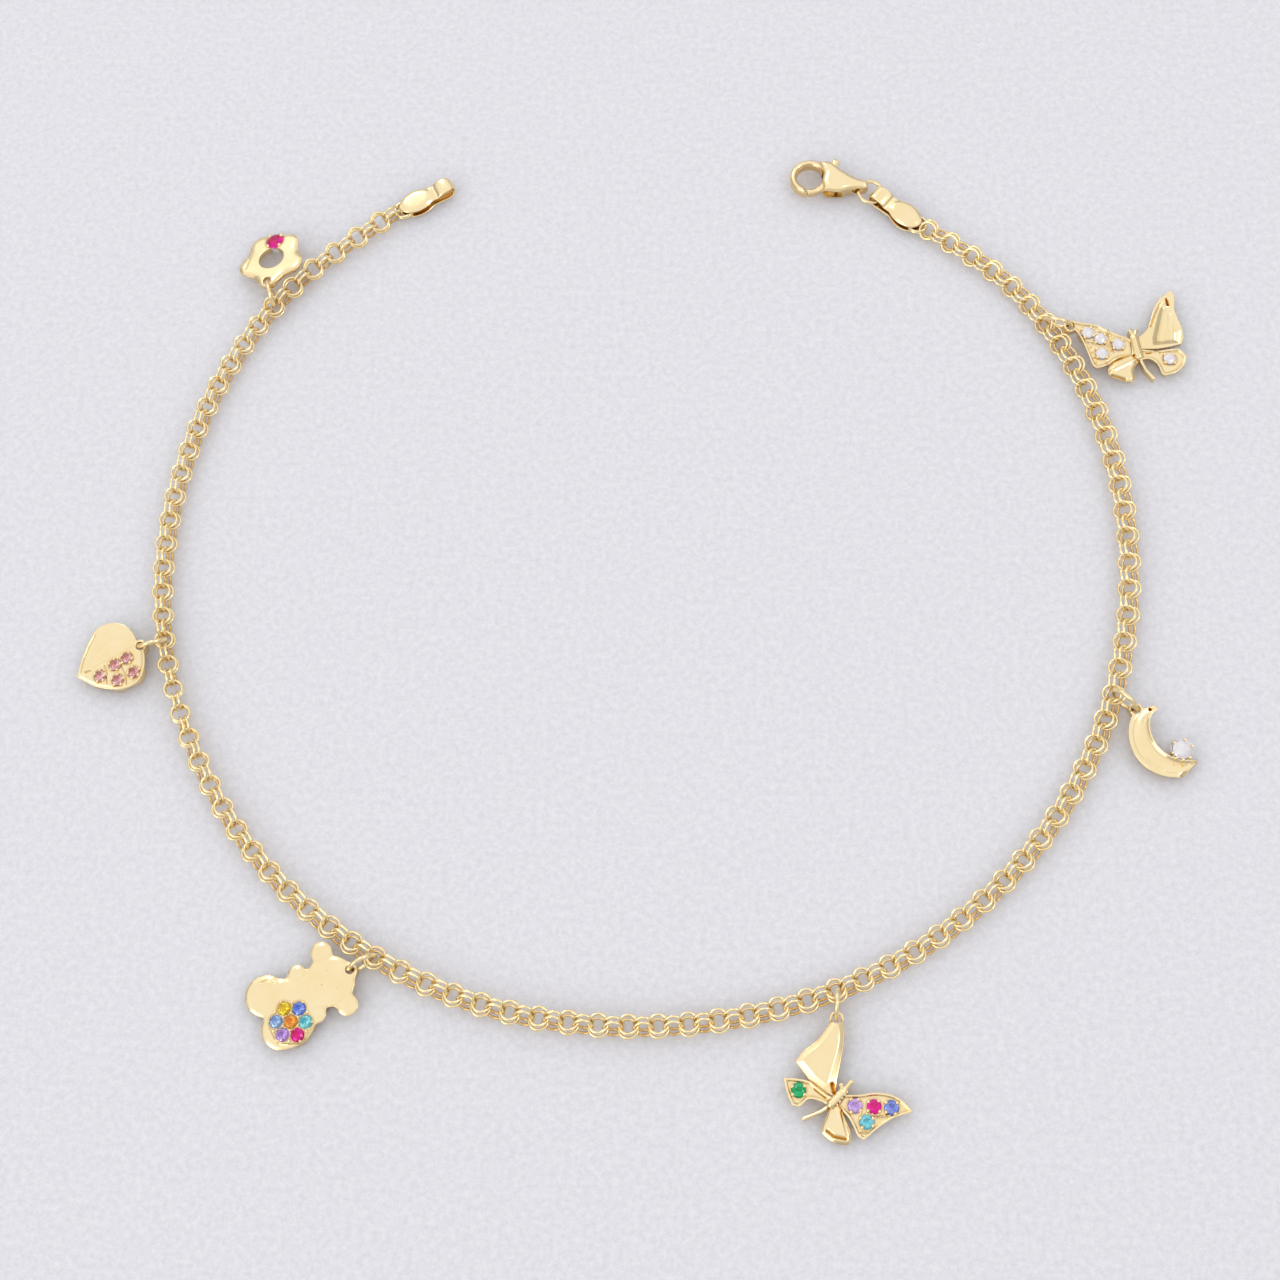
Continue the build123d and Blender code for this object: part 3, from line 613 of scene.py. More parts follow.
def brilliant(diameter):
    """A round brilliant: table, star, bezel and upper girdle facets over a pavilion with its culet."""
    rows = [
        # radius and height in radii, and whether it lies between two main facets
        (0.56, 0.30, 0), (0.80, 0.19, 1), (1, 0.03, 0), (1, 0.03, 1), (1, -0.03, 0), (1, -0.03, 1),
        (0.24, -0.70, 1),
    ]
    vertices = []
    for number in range(8):
        for out, height, between in rows:
            vertices.append([*compass(45 * number + 22.5 * between, out), height])
    culet = len(vertices)
    vertices.append([0, 0, -0.88])
    faces = [[7 * number for number in range(8)]]
    for number in range(8):
        this, after, before = 7 * number, 7 * ((number + 1) % 8), 7 * ((number - 1) % 8)
        faces += [[this, this + 1, after], [this, before + 1, this + 2, this + 1],
                  [this + 1, this + 2, this + 3], [this + 1, this + 3, after + 2],
                  [this + 2, this + 4, this + 5, this + 3], [this + 3, this + 5, after + 4, after + 2],
                  [this + 5, this + 4, this + 6], [this + 5, this + 6, after + 4],
                  [this + 4, before + 6, culet, this + 6]]
    return np.array(vertices) * diameter / 2, faces


STONE_COLOURS = {
    # colour, then the deeper tone inside it
    "magenta": ((0.97, 0.004, 0.42), (0.80, 0.0, 0.26)),
    "dusty_pink": ((0.96, 0.66, 0.64), (0.88, 0.48, 0.48)),
    "orange": ((1.0, 0.52, 0.08), (1.0, 0.36, 0.02)),
    "yellow": ((1.0, 0.84, 0.06), (1.0, 0.66, 0.0)),
    "cornflower": ((0.36, 0.52, 1.0), (0.08, 0.18, 0.92)),
    "aqua": ((0.36, 0.85, 0.90), (0.20, 0.70, 0.82)),
    "lilac": ((0.74, 0.52, 0.92), (0.58, 0.36, 0.86)),
    "light_blue": ((0.52, 0.70, 0.98), (0.26, 0.46, 0.92)),
    "periwinkle": ((0.34, 0.42, 0.92), (0.16, 0.24, 0.80)),
    "green": ((0.02, 0.66, 0.24), (0.01, 0.46, 0.16)),
}
stone_looks = {name: stone_material(f"{name}_glass", *tones) for name, tones in STONE_COLOURS.items()}
stone_looks["clear"] = stone_material("clear_glass", (1.0, 0.99, 1.0), (0.88, 0.79, 0.84), 2.2, 0.2, 1.6)
seat_foil = gold_material("seat_foil", (0.99, 0.98, 0.97), (0.95, 0.94, 0.92), 0.2, 0.35, 0.3)

STONE_SINK = 0.05    # how far a girdle lies below the charm's top
STONE_CLEARANCE = 0.05
SEAT_WALL = 0.04    # thickness of a seat's wall, and its height over the charm's back
SEAT_LEDGE = 0.16    # how far its wall ends below the charm's top
SEAT_DEPTH = 0.62    # depth of its cone below the charm's top, in diameters of the stone
SEAT_TIP = 0.12    # radius of the cone's flat end, in diameters of the stone
HOLE_RADIUS = RING_WIRE / 2 + 0.2    # holes in the charms for the jump rings
LUG_RADIUS = HOLE_RADIUS + 0.22    # the metal round those holes


class Charm:
    """The plane that a charm's back lies in, and the pieces placed on it."""

    def __init__(self, name, hole, thickness, size=1.0):
        heading, height, lean, reach = HANGERS[name]
        to_hole = sqrt(RING_RADIUS**2 - (RING_HEIGHT - height) ** 2)
        at_hole = ring_centre(name)[:2] + compass(heading, to_hole)
        tilt = asin((height - thickness / 2) / (size * reach))
        self.up = np.array([*(compass(lean) * sin(tilt)), cos(tilt)])
        self.right = unit(np.array([1, 0, -self.up[0] / self.up[2]]))
        self.away = np.cross(self.up, self.right)
        self.origin = (np.array([*at_hole, height]) - self.right * hole[0] - self.away * hole[1]
                       - self.up * thickness / 2)
        self.name, self.thickness = name, thickness
        self.hole, self.scale = np.array([*hole, 0]), np.array([size, size, 1])
        self.stones, self.seats, self.grains = [], [], []

    def holes(self):
        """Places and radii of the holes round the stones and for the jump ring."""
        rounds = [(place, diameter / 2 + STONE_CLEARANCE) for *place, diameter in self.stones]
        return [*rounds, (self.hole, HOLE_RADIUS)]

    def placed(self, part):
        vertices, faces = part
        sized = self.hole + (vertices[:, :3] - self.hole) * self.scale
        points = self.origin + sized @ np.array([self.right, self.away, self.up])
        return np.column_stack([points, vertices[:, 3:]]), faces

    def metal(self, body, extra=()):
        """The charm's plate with the grains of its stones and other parts, and the stones' seats."""
        for look, parts, material in (("gold", [body, *self.grains, *extra], gold),
                                      ("seats", self.seats, seat_foil)):
            make_piece(f"{self.name}_{look}", f"{self.name}_charm", self.placed(joined(parts)), material)

    def stone(self, node, x, y, diameter, colour, turn=0.0, headings=(), grain=(0.18, 0.04, 0.16)):
        """A cut stone in a ring of bright metal with a conical inside, held by grains raised over its
        girdle at some headings; grain gives their radius, how far out they lie and their height."""
        radius = diameter / 2 + STONE_CLEARANCE
        top = self.thickness
        bottom = top - SEAT_DEPTH * diameter
        seat = lathe([(0, SEAT_WALL), (radius + SEAT_WALL, SEAT_WALL),
                      (radius + SEAT_WALL, top - SEAT_LEDGE), (radius, top - SEAT_LEDGE),
                      (SEAT_TIP * diameter, bottom), (0, bottom)])
        self.seats.append(moved(seat, (x, y, 0)))
        self.stones.append((x, y, diameter))
        size, spread, height = grain
        for heading in headings:
            spot = (x, y) + compass(heading, diameter / 2 + spread)
            self.grains.append(moved(ball(size, height), (*spot, top + 0.02)))
        vertices, faces = brilliant(diameter)
        twist = np.array([[cos(turn), sin(turn), 0], [-sin(turn), cos(turn), 0], UP])
        cut = (vertices @ twist + [x, y, top - STONE_SINK], faces)
        make_piece(f"{self.name}_{node}_brilliant", f"{self.name}_stone_{node}", self.placed(cut),
                   stone_looks[colour], sharp=None)


# ---- flower ----

FLOWER_HOLE = (0.0, -2.85)
FLOWER_STONE = (0.0, 2.2)
flower = Charm("flower", FLOWER_HOLE, 0.8, 1.05)


def flower_outline(x, y):
    shape = to_circle(x, y, (0, 0), 2.75)
    for petal in range(5):
        middle = compass(-90 + 72 * petal, 2.15)
        shape = merged(shape, to_circle(x, y, middle, 1.28), 0.5)
    return merged(shape, to_circle(x, y, FLOWER_STONE, 1.1), 0.3)


def flower_distance(x, y):
    return pierced(x, y, flower_outline(x, y), ((0, 0), 1.3), (FLOWER_STONE, 0.93),
                   (FLOWER_HOLE, HOLE_RADIUS))


def flower_top(x, y):
    """Nearly flat petals with a shallow valley between each two and edges that roll down."""
    turn = np.arctan2(y, x)
    out = np.hypot(x, y)
    valley = 0.09 * rise(out, 1.5, 3.0) * (0.5 - 0.5 * np.cos(5 * (turn + pi / 2))) ** 2
    ripple = 0.02 * np.sin(3 * turn + 1.3) * rise(out, 1.8, 3.2)
    return worked(x, y, flower.thickness - 0.16 * rolled(flower_outline(x, y), 0.6) - valley - ripple,
                  (-0.06, 0.4, (-2.5, 1.5), (-2.35, 0.2), (-2.55, -1.0)))


flower.stone("pink", *FLOWER_STONE, 1.75, "magenta", 0.2, (45, 135, 225, 315), (0.2, 0.0, 0.2))
flower.metal(plate(flower_distance, flower_top, 0.07, 4.2, stones=flower.stones))

# ---- heart ----

HEART_HOLE = (2.85, 0.9)
HEART_STONE = 1.1    # diameter of its stones
HEART_STONES = {
    # place, headings of its grains
    "tip": (-0.9, -2.1, (20, 95, 160, 250, 310)),
    "middle": (0.5, -1.0, (10, 100, 170, 235, 300)),
    "upper": (1.65, -0.35, (0, 75, 150, 230, 310)),
    "lower": (0.95, -2.55, (15, 100, 165, 240, 310)),
    "right": (2.5, -1.8, (30, 110, 190, 260, 330)),
}
HEART_CUTS = (
    ((-0.65, -1.0), (-0.3, -1.75)), ((0.7, -0.35), (1.1, -1.15), (1.65, -2.1), (1.8, -2.95)),
    ((-0.35, -2.1), (-0.15, -2.9)), ((-2.5, -1.75), (-1.9, -1.5)),
)
heart_corners = outline(
    (-3.25, -2.2),
    [(-2.95, -0.3), (-2.4, 1.5), (-1.7, 2.8), (-0.4, 3.35), (1.0, 3.15), (2.0, 2.3), (2.55, 1.35)],
    (3.1, 1.0), [(3.4, 0.2), (3.5, -1.4), (2.9, -2.85), (1.3, -3.5), (-1.0, -3.25), (-3.25, -2.2)])
heart_dish = outline(
    (-2.75, -1.5),
    [(-2.6, -0.2), (-2.12, 1.25), (-1.5, 2.5), (-0.35, 3.08), (0.85, 2.9), (1.75, 2.15), (2.1, 1.25)])
heart = Charm("heart", HEART_HOLE, 1.1)


def heart_distance(x, y):
    shape = merged(to_outline(x, y, heart_corners), to_circle(x, y, HEART_HOLE, LUG_RADIUS), 0.1)
    return pierced(x, y, shape, *heart.holes())


def heart_top(x, y):
    """A smooth hollow above a straight line of stones, and bright cuts between the stones."""
    dish = -to_outline(x, y, heart_dish)
    edge = -to_outline(x, y, heart_corners)
    hollow = 0.12 * rise(dish, -0.3, 2.2)
    bed = 0.07 * rise(edge, 0.2, 0.3) * rise(-dish, 0.05, 0.3)
    cuts = 0.10 * np.max([hump(to_path(x, y, cut), 0.3) for cut in HEART_CUTS], axis=0)
    return worked(x, y, heart.thickness - hollow - bed - cuts,
                  (-0.09, 0.26, (-2.98, -1.8), (-2.75, -0.4), (-2.35, 0.95), (-1.8, 2.2)))


for node, (across, up, headings) in HEART_STONES.items():
    heart.stone(node, across, up, HEART_STONE, "dusty_pink", across, headings, (0.17, 0.04, 0.16))
heart.metal(plate(heart_distance, heart_top, 0.07, 4.2, stones=heart.stones))

# ---- bear ----

BEAR_TURN = 30
BEAR_TUMMY = np.array([-1.3, -0.7])
BEAR_FLOWER = np.array([-1.13, -2.44])


def on_bear(along, across):
    """A place on the bear: along its back towards the head, and across towards its right side."""
    return BEAR_TUMMY + compass(BEAR_TURN, along) + compass(BEAR_TURN + 90, across)


BEAR_HOLE = on_bear(6.2, 0)
BEAR_ROUNDS = [
    # places and radii of the rounds that make up its outline
    (on_bear(0, 0), 2.4), (on_bear(2.0, 0), 1.9), (on_bear(4.05, 0), 2.4),
    (on_bear(4.55, 2.8), 1.02), (on_bear(4.55, -2.8), 1.02),
    (on_bear(1.7, 2.15), 0.85), (on_bear(1.7, -2.15), 0.85),
    (on_bear(-1.75, 1.75), 1.95), (on_bear(-1.75, -1.75), 1.95), (BEAR_FLOWER, 2.2),
]
BEAR_FACE = [on_bear(4.35, 0.95), on_bear(4.35, -0.95), on_bear(3.3, 0)]
BEAR_STONE = 1.18    # diameter of its stones
bear = Charm("bear", BEAR_HOLE, 1.1)


def bear_outline(x, y):
    shape = to_circle(x, y, BEAR_HOLE, LUG_RADIUS)
    for place, radius in BEAR_ROUNDS:
        shape = merged(shape, to_circle(x, y, place, radius), 0.5)
    return shape


def bear_distance(x, y):
    return pierced(x, y, bear_outline(x, y), *bear.holes(), *((place, 0.06) for place in BEAR_FACE))


def bear_top(x, y):
    """A smooth flat face with soft edges, a crease on one leg and a scalloped line round the stones."""
    rim = bear_outline(x, y)
    turn = np.arctan2(y - BEAR_FLOWER[1], x - BEAR_FLOWER[0])
    wave = to_circle(x, y, BEAR_FLOWER, 2.12) - 0.1 * np.cos(6 * turn)
    scallop = 0.09 * hump(wave, 0.2) * rise(-np.sin(turn), 0.1, 0.3)
    return worked(x, y, 1.05 - 0.16 * rolled(rim, 0.6) + 0.05 * rise(-rim, 0.2, 1.6) - scallop,
                  (-0.10, 0.22, (-4.25, 1.2), (-3.6, 1.42), (-2.9, 1.2)))


bear.stone("orange", *BEAR_FLOWER, BEAR_STONE, "orange", sum(BEAR_FLOWER))
bear_extras = []    # its grains, and the floors of its eyes and nose
for number, colour in enumerate(["aqua", "cornflower", "yellow", "light_blue", "lilac", "magenta"]):
    spot = BEAR_FLOWER + compass(60 * number, 1.4)
    bear.stone(colour, *spot, BEAR_STONE, colour, sum(spot))
    for heading, out, size in ((30, 0.81, 0.17), (30, 1.78, 0.2), (0, 2.06, 0.16)):
        spot = BEAR_FLOWER + compass(60 * number + heading, out)
        bear_extras.append(moved(ball(size, 0.19), (*spot, bear.thickness)))
bear_extras += [moved(rod(0.14, 0.1, 0.95, 12), (*place, 0)) for place in BEAR_FACE]
bear.metal(plate(bear_distance, bear_top, 0.05, 7.2, 0.07, bear.stones), bear_extras)

# ---- butterflies ----

BUTTERFLY_THICKNESS = 0.9
WING_STONE = 1.22    # diameter of their stones
FEELER = 0.16    # half the width of a feeler
HORN = 0.2    # half the width of a horn


def framed(x, y, shape):
    """A flat face in a border that slopes down to the outline and is wider near the body."""
    return BUTTERFLY_THICKNESS - 0.30 * np.clip(1 + shape / (0.5 + 0.10 * np.clip(3 - y, 0, 4)), 0, 1)


def panelled(x, y, shape):
    """A flat face with a hollow of its own outline."""
    panel = np.array([(2.3, 0.0), (3.2, 3.5), (4.1, 4.5), (4.5, 3.0), (5.1, 0.8), (4.95, -0.6),
                      (2.3, -0.95)])
    return BUTTERFLY_THICKNESS - 0.36 * rise(-to_outline(x, y, panel), -0.2, 0.7)


def rimmed(x, y, shape, width, sink):
    """A bed for stones inside a narrow raised rim."""
    return BUTTERFLY_THICKNESS - sink * rise(-shape, width, width + 0.1)


def domed(x, y, shape, width, drop):
    return BUTTERFLY_THICKNESS - drop * rolled(shape, width)


class Butterfly(Charm):
    """A butterfly of several wings, with a ridged body, a long feeler and two horns."""

    def __init__(self, name, hole, wings, body, feeler, horns):
        super().__init__(name, hole, BUTTERFLY_THICKNESS)
        self.wings, self.body, self.feeler, self.horns = wings, body, feeler, horns

    def wing_distances(self, x, y):
        return np.array([to_outline(x, y, corners) for corners, *_ in self.wings.values()])

    def body_distance(self, x, y):
        head, tail, width = self.body
        shape = to_segment(x, y, head, tail) - width / 2
        for horn in self.horns:
            shape = merged(shape, to_segment(x, y, head, horn) - HORN, 0.1)
        return shape

    def distance(self, x, y):
        shape = np.minimum(self.wing_distances(x, y).min(axis=0), self.body_distance(x, y))
        shape = merged(shape, to_path(x, y, self.feeler) - FEELER, 0.1)
        shape = np.minimum(shape, to_circle(x, y, self.hole, LUG_RADIUS))
        return pierced(x, y, shape, *self.holes())

    def top(self, x, y):
        wings = self.wing_distances(x, y)
        nearest = wings.argmin(axis=0)
        height = domed(x, y, to_path(x, y, self.feeler) - FEELER, FEELER, 0.12)
        for number, (_, (face, *measures), *marks) in enumerate(self.wings.values()):
            shape = wings[number]
            here = (nearest == number) & (shape < 0.06)
            height = np.where(here, worked(x, y, face(x, y, shape, *measures), *marks), height)
        shape = self.body_distance(x, y)
        round_body = BUTTERFLY_THICKNESS + 0.28 * np.sqrt(np.clip(-shape / 0.36, 0, 1))
        return np.where(shape < 0, np.maximum(height, round_body), height)

    def make(self, half, stones, extra):
        for node, (across, up, colour, headings) in stones.items():
            self.stone(node, across, up, WING_STONE, colour, across, headings)
        self.metal(plate(self.distance, self.top, 0.05, half, stones=self.stones), extra)


def beads(path, spacing, radius, height):
    """A row of small grains along a path."""
    points = np.array(path, dtype=float)
    lengths = np.concatenate([[0], np.cumsum(np.linalg.norm(np.diff(points, axis=0), axis=1))])
    grain = ball(radius, 0.8 * radius, 5, 8)
    rows = []
    for place in np.linspace(0, lengths[-1], max(2, round(lengths[-1] / spacing))):
        rows.append(moved(grain, (np.interp(place, lengths, points[:, 0]),
                                  np.interp(place, lengths, points[:, 1]), height)))
    return rows


# Each wing has its outline, its face with that face's measures, and then its ridges and grooves.
coloured_wings = {
    "plain": (
        outline((-1.85, 6.4), [(-1.3, 5.2), (-1.2, 4.0), (-1.4, 2.6), (-1.9, 0.2)], (-2.0, -1.2),
                (-3.2, -0.7), (-4.2, 0.1), (-5.6, 1.95),
                [(-4.9, 2.85), (-3.6, 3.9), (-2.55, 5.3), (-1.85, 6.4)]),
        (framed,), (-0.45, 0.55, (-2.3, -0.1), (-2.15, -0.75))),
    "left": (
        outline((-6.7, 0.45), [(-5.5, 0.4), (-4.2, 0.1), (-3.2, -0.7), (-2.2, -1.3)], (-2.6, -2.0),
                [(-3.4, -1.6), (-4.4, -1.45), (-5.2, -2.1), (-5.9, -2.0)], [(-6.4, -0.8), (-6.7, 0.45)]),
        (rimmed, 0.2, 0.14), (-0.12, 0.25, (-3.9, -0.55), (-2.9, -1.3))),
    "right": (
        outline((-1.4, -1.0), [(0.2, -0.95), (1.6, -0.75), (3.0, -0.95), (4.0, -1.5), (4.85, -2.4)],
                [(3.2, -2.95), (1.9, -3.75), (0.5, -4.95)], [(-0.1, -4.5), (-0.8, -3.1), (-1.9, -1.9)]),
        (rimmed, 0.17, 0.15), (0.12, 0.3, (1.3, -2.95), (2.6, -2.75)),
        (-0.10, 0.35, (0.2, -4.3), (0.9, -4.3))),
    "hind": (
        outline((-2.5, -1.6),
                [(-2.85, -2.9), (-3.3, -4.1), (-2.8, -4.8), (-1.9, -5.3), (-1.0, -5.35), (-0.65, -5.0)],
                [(-0.75, -4.0), (-1.3, -2.8), (-1.6, -1.6)]),
        (domed, 0.7, 0.30), (-0.32, 0.45, (-2.75, -4.2), (-2.2, -4.65), (-1.15, -4.85)),
        (-0.10, 0.3, (-1.5, -2.4), (-1.05, -4.6))),
}
coloured_butterfly = Butterfly(
    "coloured_butterfly", (-1.9, 5.8), coloured_wings, body=((-1.35, -0.75), (-2.4, -1.85), 0.75),
    feeler=[(-2.4, -1.85), (-3.3, -2.5), (-4.85, -3.15)], horns=[(-0.6, 0.15), (-1.5, -0.15)])
coloured_butterfly.make(
    7.2,
    {"green": (-5.3, -0.65, "green", (35, 150, 215, 325)),
     "lilac": (-0.3, -1.95, "lilac", (60, 120, 240, 320)),
     "magenta": (1.4, -2.0, "magenta", (50, 140, 215, 320)),
     "blue": (2.95, -2.05, "periwinkle", (40, 140, 220, 300)),
     "aqua": (0.75, -3.35, "aqua", (30, 150, 230, 330))},
    [*beads([(-0.95, -0.75), (-1.85, -1.9)], 0.27, 0.10, 1.06),
     *beads([(-1.4, -0.55), (-2.35, -1.55)], 0.27, 0.10, 1.06),
     *beads([(-3.9, -0.25), (-2.8, -1.05)], 0.3, 0.10, 0.92),
     *beads([(0.2, -2.6), (2.3, -2.75)], 0.42, 0.12, 0.90)])

white_wings = {
    "left": (
        outline((-6.2, 1.45), [(-5.6, 1.6), (-4.4, 1.4), (-3.1, 1.2), (-2.0, 0.6), (0.3, -0.4)],
                (0.4, -2.2), [(-1.2, -2.5), (-2.4, -3.3), (-3.3, -3.6), (-3.8, -3.3)],
                [(-4.5, -1.2), (-5.1, 0.2), (-6.2, 1.45)]),
        (rimmed, 0.17, 0.16), (0.16, 0.3, (-2.1, 0.6), (-1.75, -1.9)),
        (0.14, 0.28, (-4.3, -0.75), (-1.9, -1.1)), (-0.25, 0.9, (-2.15, -3.0))),
    "plain": (
        outline((0.8, -0.2), [(1.9, 1.0), (2.6, 3.2), (3.3, 4.4), (4.4, 5.3)],
                [(4.75, 4.6), (4.7, 3.0), (5.2, 1.4), (5.4, 0.2), (5.2, -0.7)],
                [(3.0, -1.3), (0.9, -1.4)]),
        (panelled,), (-0.16, 0.35, (2.2, 1.2), (2.75, 2.6), (3.3, 3.8)),
        (0.05, 0.8, (3.3, -0.1), (3.95, 3.4)), (0.04, 0.6, (4.3, -0.2), (4.25, 2.6)),
        (-0.4, 0.32, (3.92, 4.35), (4.1, 3.7))),
    "small": (
        outline((0.9, -1.4), [(2.6, -1.55), (3.9, -1.35), (4.9, -1.3), (5.6, -2.1)],
                [(5.3, -3.1), (4.5, -3.9), (3.4, -4.3)],
                [(3.0, -4.0), (2.6, -3.0), (1.9, -2.5), (1.0, -2.6)]),
        (rimmed, 0.18, 0.14), (-0.14, 0.22, (1.6, -1.85), (2.4, -1.68), (3.0, -1.75))),
    "hind": (
        outline((0.2, -1.8),
                [(-1.4, -2.6), (-2.2, -3.5), (-2.1, -4.3), (-0.9, -4.8), (0.1, -5.0), (0.4, -4.5)],
                [(0.35, -3.6), (0.9, -2.6)]),
        (domed, 0.6, 0.28), (0.08, 0.5, (0.5, -2.6), (-0.6, -3.2), (-1.9, -3.9)),
        (-0.20, 0.3, (-1.9, -4.3), (-1.2, -4.55), (-0.6, -4.75))),
}
white_butterfly = Butterfly(
    "white_butterfly", (-5.8, 1.1), white_wings, body=((0.45, -0.2), (0.85, -2.2), 0.8),
    feeler=[(0.85, -2.2), (1.5, -3.7), (2.2, -4.55)], horns=[(0.1, 0.6), (0.65, 0.6)])
white_butterfly.make(
    6.6,
    {"outer": (-4.1, 0.35, "clear", (60, 150, 240, 330)),
     "middle": (-2.9, -0.3, "clear", (45, 135, 225, 315)),
     "inner": (-1.15, -0.9, "clear", (45, 150, 225, 315)),
     "lower": (-2.8, -1.95, "clear", (45, 135, 225, 315)),
     "right": (3.9, -2.4, "clear", (45, 135, 225, 315))},
    [*beads([(0.3, -0.5), (0.75, -2.2)], 0.3, 0.10, 1.12),
     *beads([(-3.6, 0.75), (-2.2, 0.35)], 0.45, 0.12, 0.88),
     *beads([(-3.9, -1.2), (-3.4, -2.9)], 0.42, 0.12, 0.88)])

# ---- moon ----

MOON_HOLE = (-2.4, 3.1)
MOON_OUTER = ((0.9, 0.65), 4.1)
MOON_INNER = ((2.2, 1.6), 3.3)
MOON_STONE = (1.75, -0.75)
MOON_TIP = ((3.25, -1.75), (1.75, -3.4))    # its blunt lower end
moon_cut = np.array([(-2.6, 2.95), (-0.5, 3.5), (-0.3, 3.15), *MOON_TIP, (7.0, -4.0), (7.0, 7.0),
                     (-2.4, 7.0)])
moon_horn = np.array([(-2.45, 3.0), (-1.6, 3.2), (-0.5, 3.5), (-0.3, 3.15), (-1.2, 2.4)])
moon = Charm("moon", MOON_HOLE, 1.1)


def moon_distance(x, y):
    shape = pierced(x, y, to_circle(x, y, *MOON_OUTER), MOON_INNER)
    shape = np.maximum(shape, -to_outline(x, y, moon_cut))
    shape = merged(shape, to_outline(x, y, moon_horn), 0.15)
    shape = merged(shape, to_circle(x, y, MOON_STONE, 1.1), 0.25)
    shape = merged(shape, to_circle(x, y, MOON_HOLE, LUG_RADIUS), 0.15)
    return pierced(x, y, shape, *moon.holes())


def moon_top(x, y):
    """A raised outer rim, a groove, a ridge that follows the curve, and a hollow inside it."""
    depth = -to_circle(x, y, *MOON_OUTER)
    inner = to_circle(x, y, *MOON_INNER)
    horn = rise(y, 2.2, 3.0) + rise(x, 0.9, 1.6)
    groove = 0.07 * hump(depth - 0.48, 0.26) * (1 - np.clip(horn, 0, 1))
    share = np.clip((depth - 0.55) / np.maximum(depth - 0.55 + inner, 1e-3), 0, 1)
    hollow = (0.05 + 0.24 * rise(share, 0.1, 0.75) * rise(inner, 0.05, 0.4)) * rise(depth, 0.5, 0.7)
    hollow *= 1 - 0.6 * rise(y, 2.0, 3.0)
    bevel = 0.28 * np.clip(1 - to_segment(x, y, *MOON_TIP) / 0.45, 0, 1)
    return worked(x, y, 1.05 - groove - hollow - bevel,
                  (0.06, 0.35, (-1.75, -1.7), (-1.0, -2.4), (-0.1, -2.85)), (-0.5, 0.42, (-1.05, 3.12)))


moon.stone("clear", *MOON_STONE, 1.85, "clear", 0.3)
prong = lathe([(0, 0.5), (0.15, 0.5), (0.16, 1.1), (0.11, 1.26), (0, 1.3)], 12)
moon.metal(plate(moon_distance, moon_top, 0.09, 5.4),
           [moved(prong, (*(MOON_STONE + compass(heading, 0.99)), 0))
            for heading in (20, 75, 140, 200, 235, 270, 310)])

# ---- folded tags ----

TAG_LENGTH = 6.2
TAG_METAL = 0.25
TAG_EYE_RADIUS = 0.85
TAG_TIP_TOP = 0.995    # height of the upper plate's middle at the tip
TAG_OVAL = 1.95    # half the length of its oval plates
TAG_HALF_WIDTH = 1.25
TAG_HALF_BAND = 0.86
TAG_CREASE = 4.15
TAG_TIP = 0.012    # where the strip starts, just inside the end of its oval


def rounded(turn, power):
    """A cosine or sine squared off towards the corners of a rectangle."""
    return np.sign(turn) * np.abs(turn) ** power


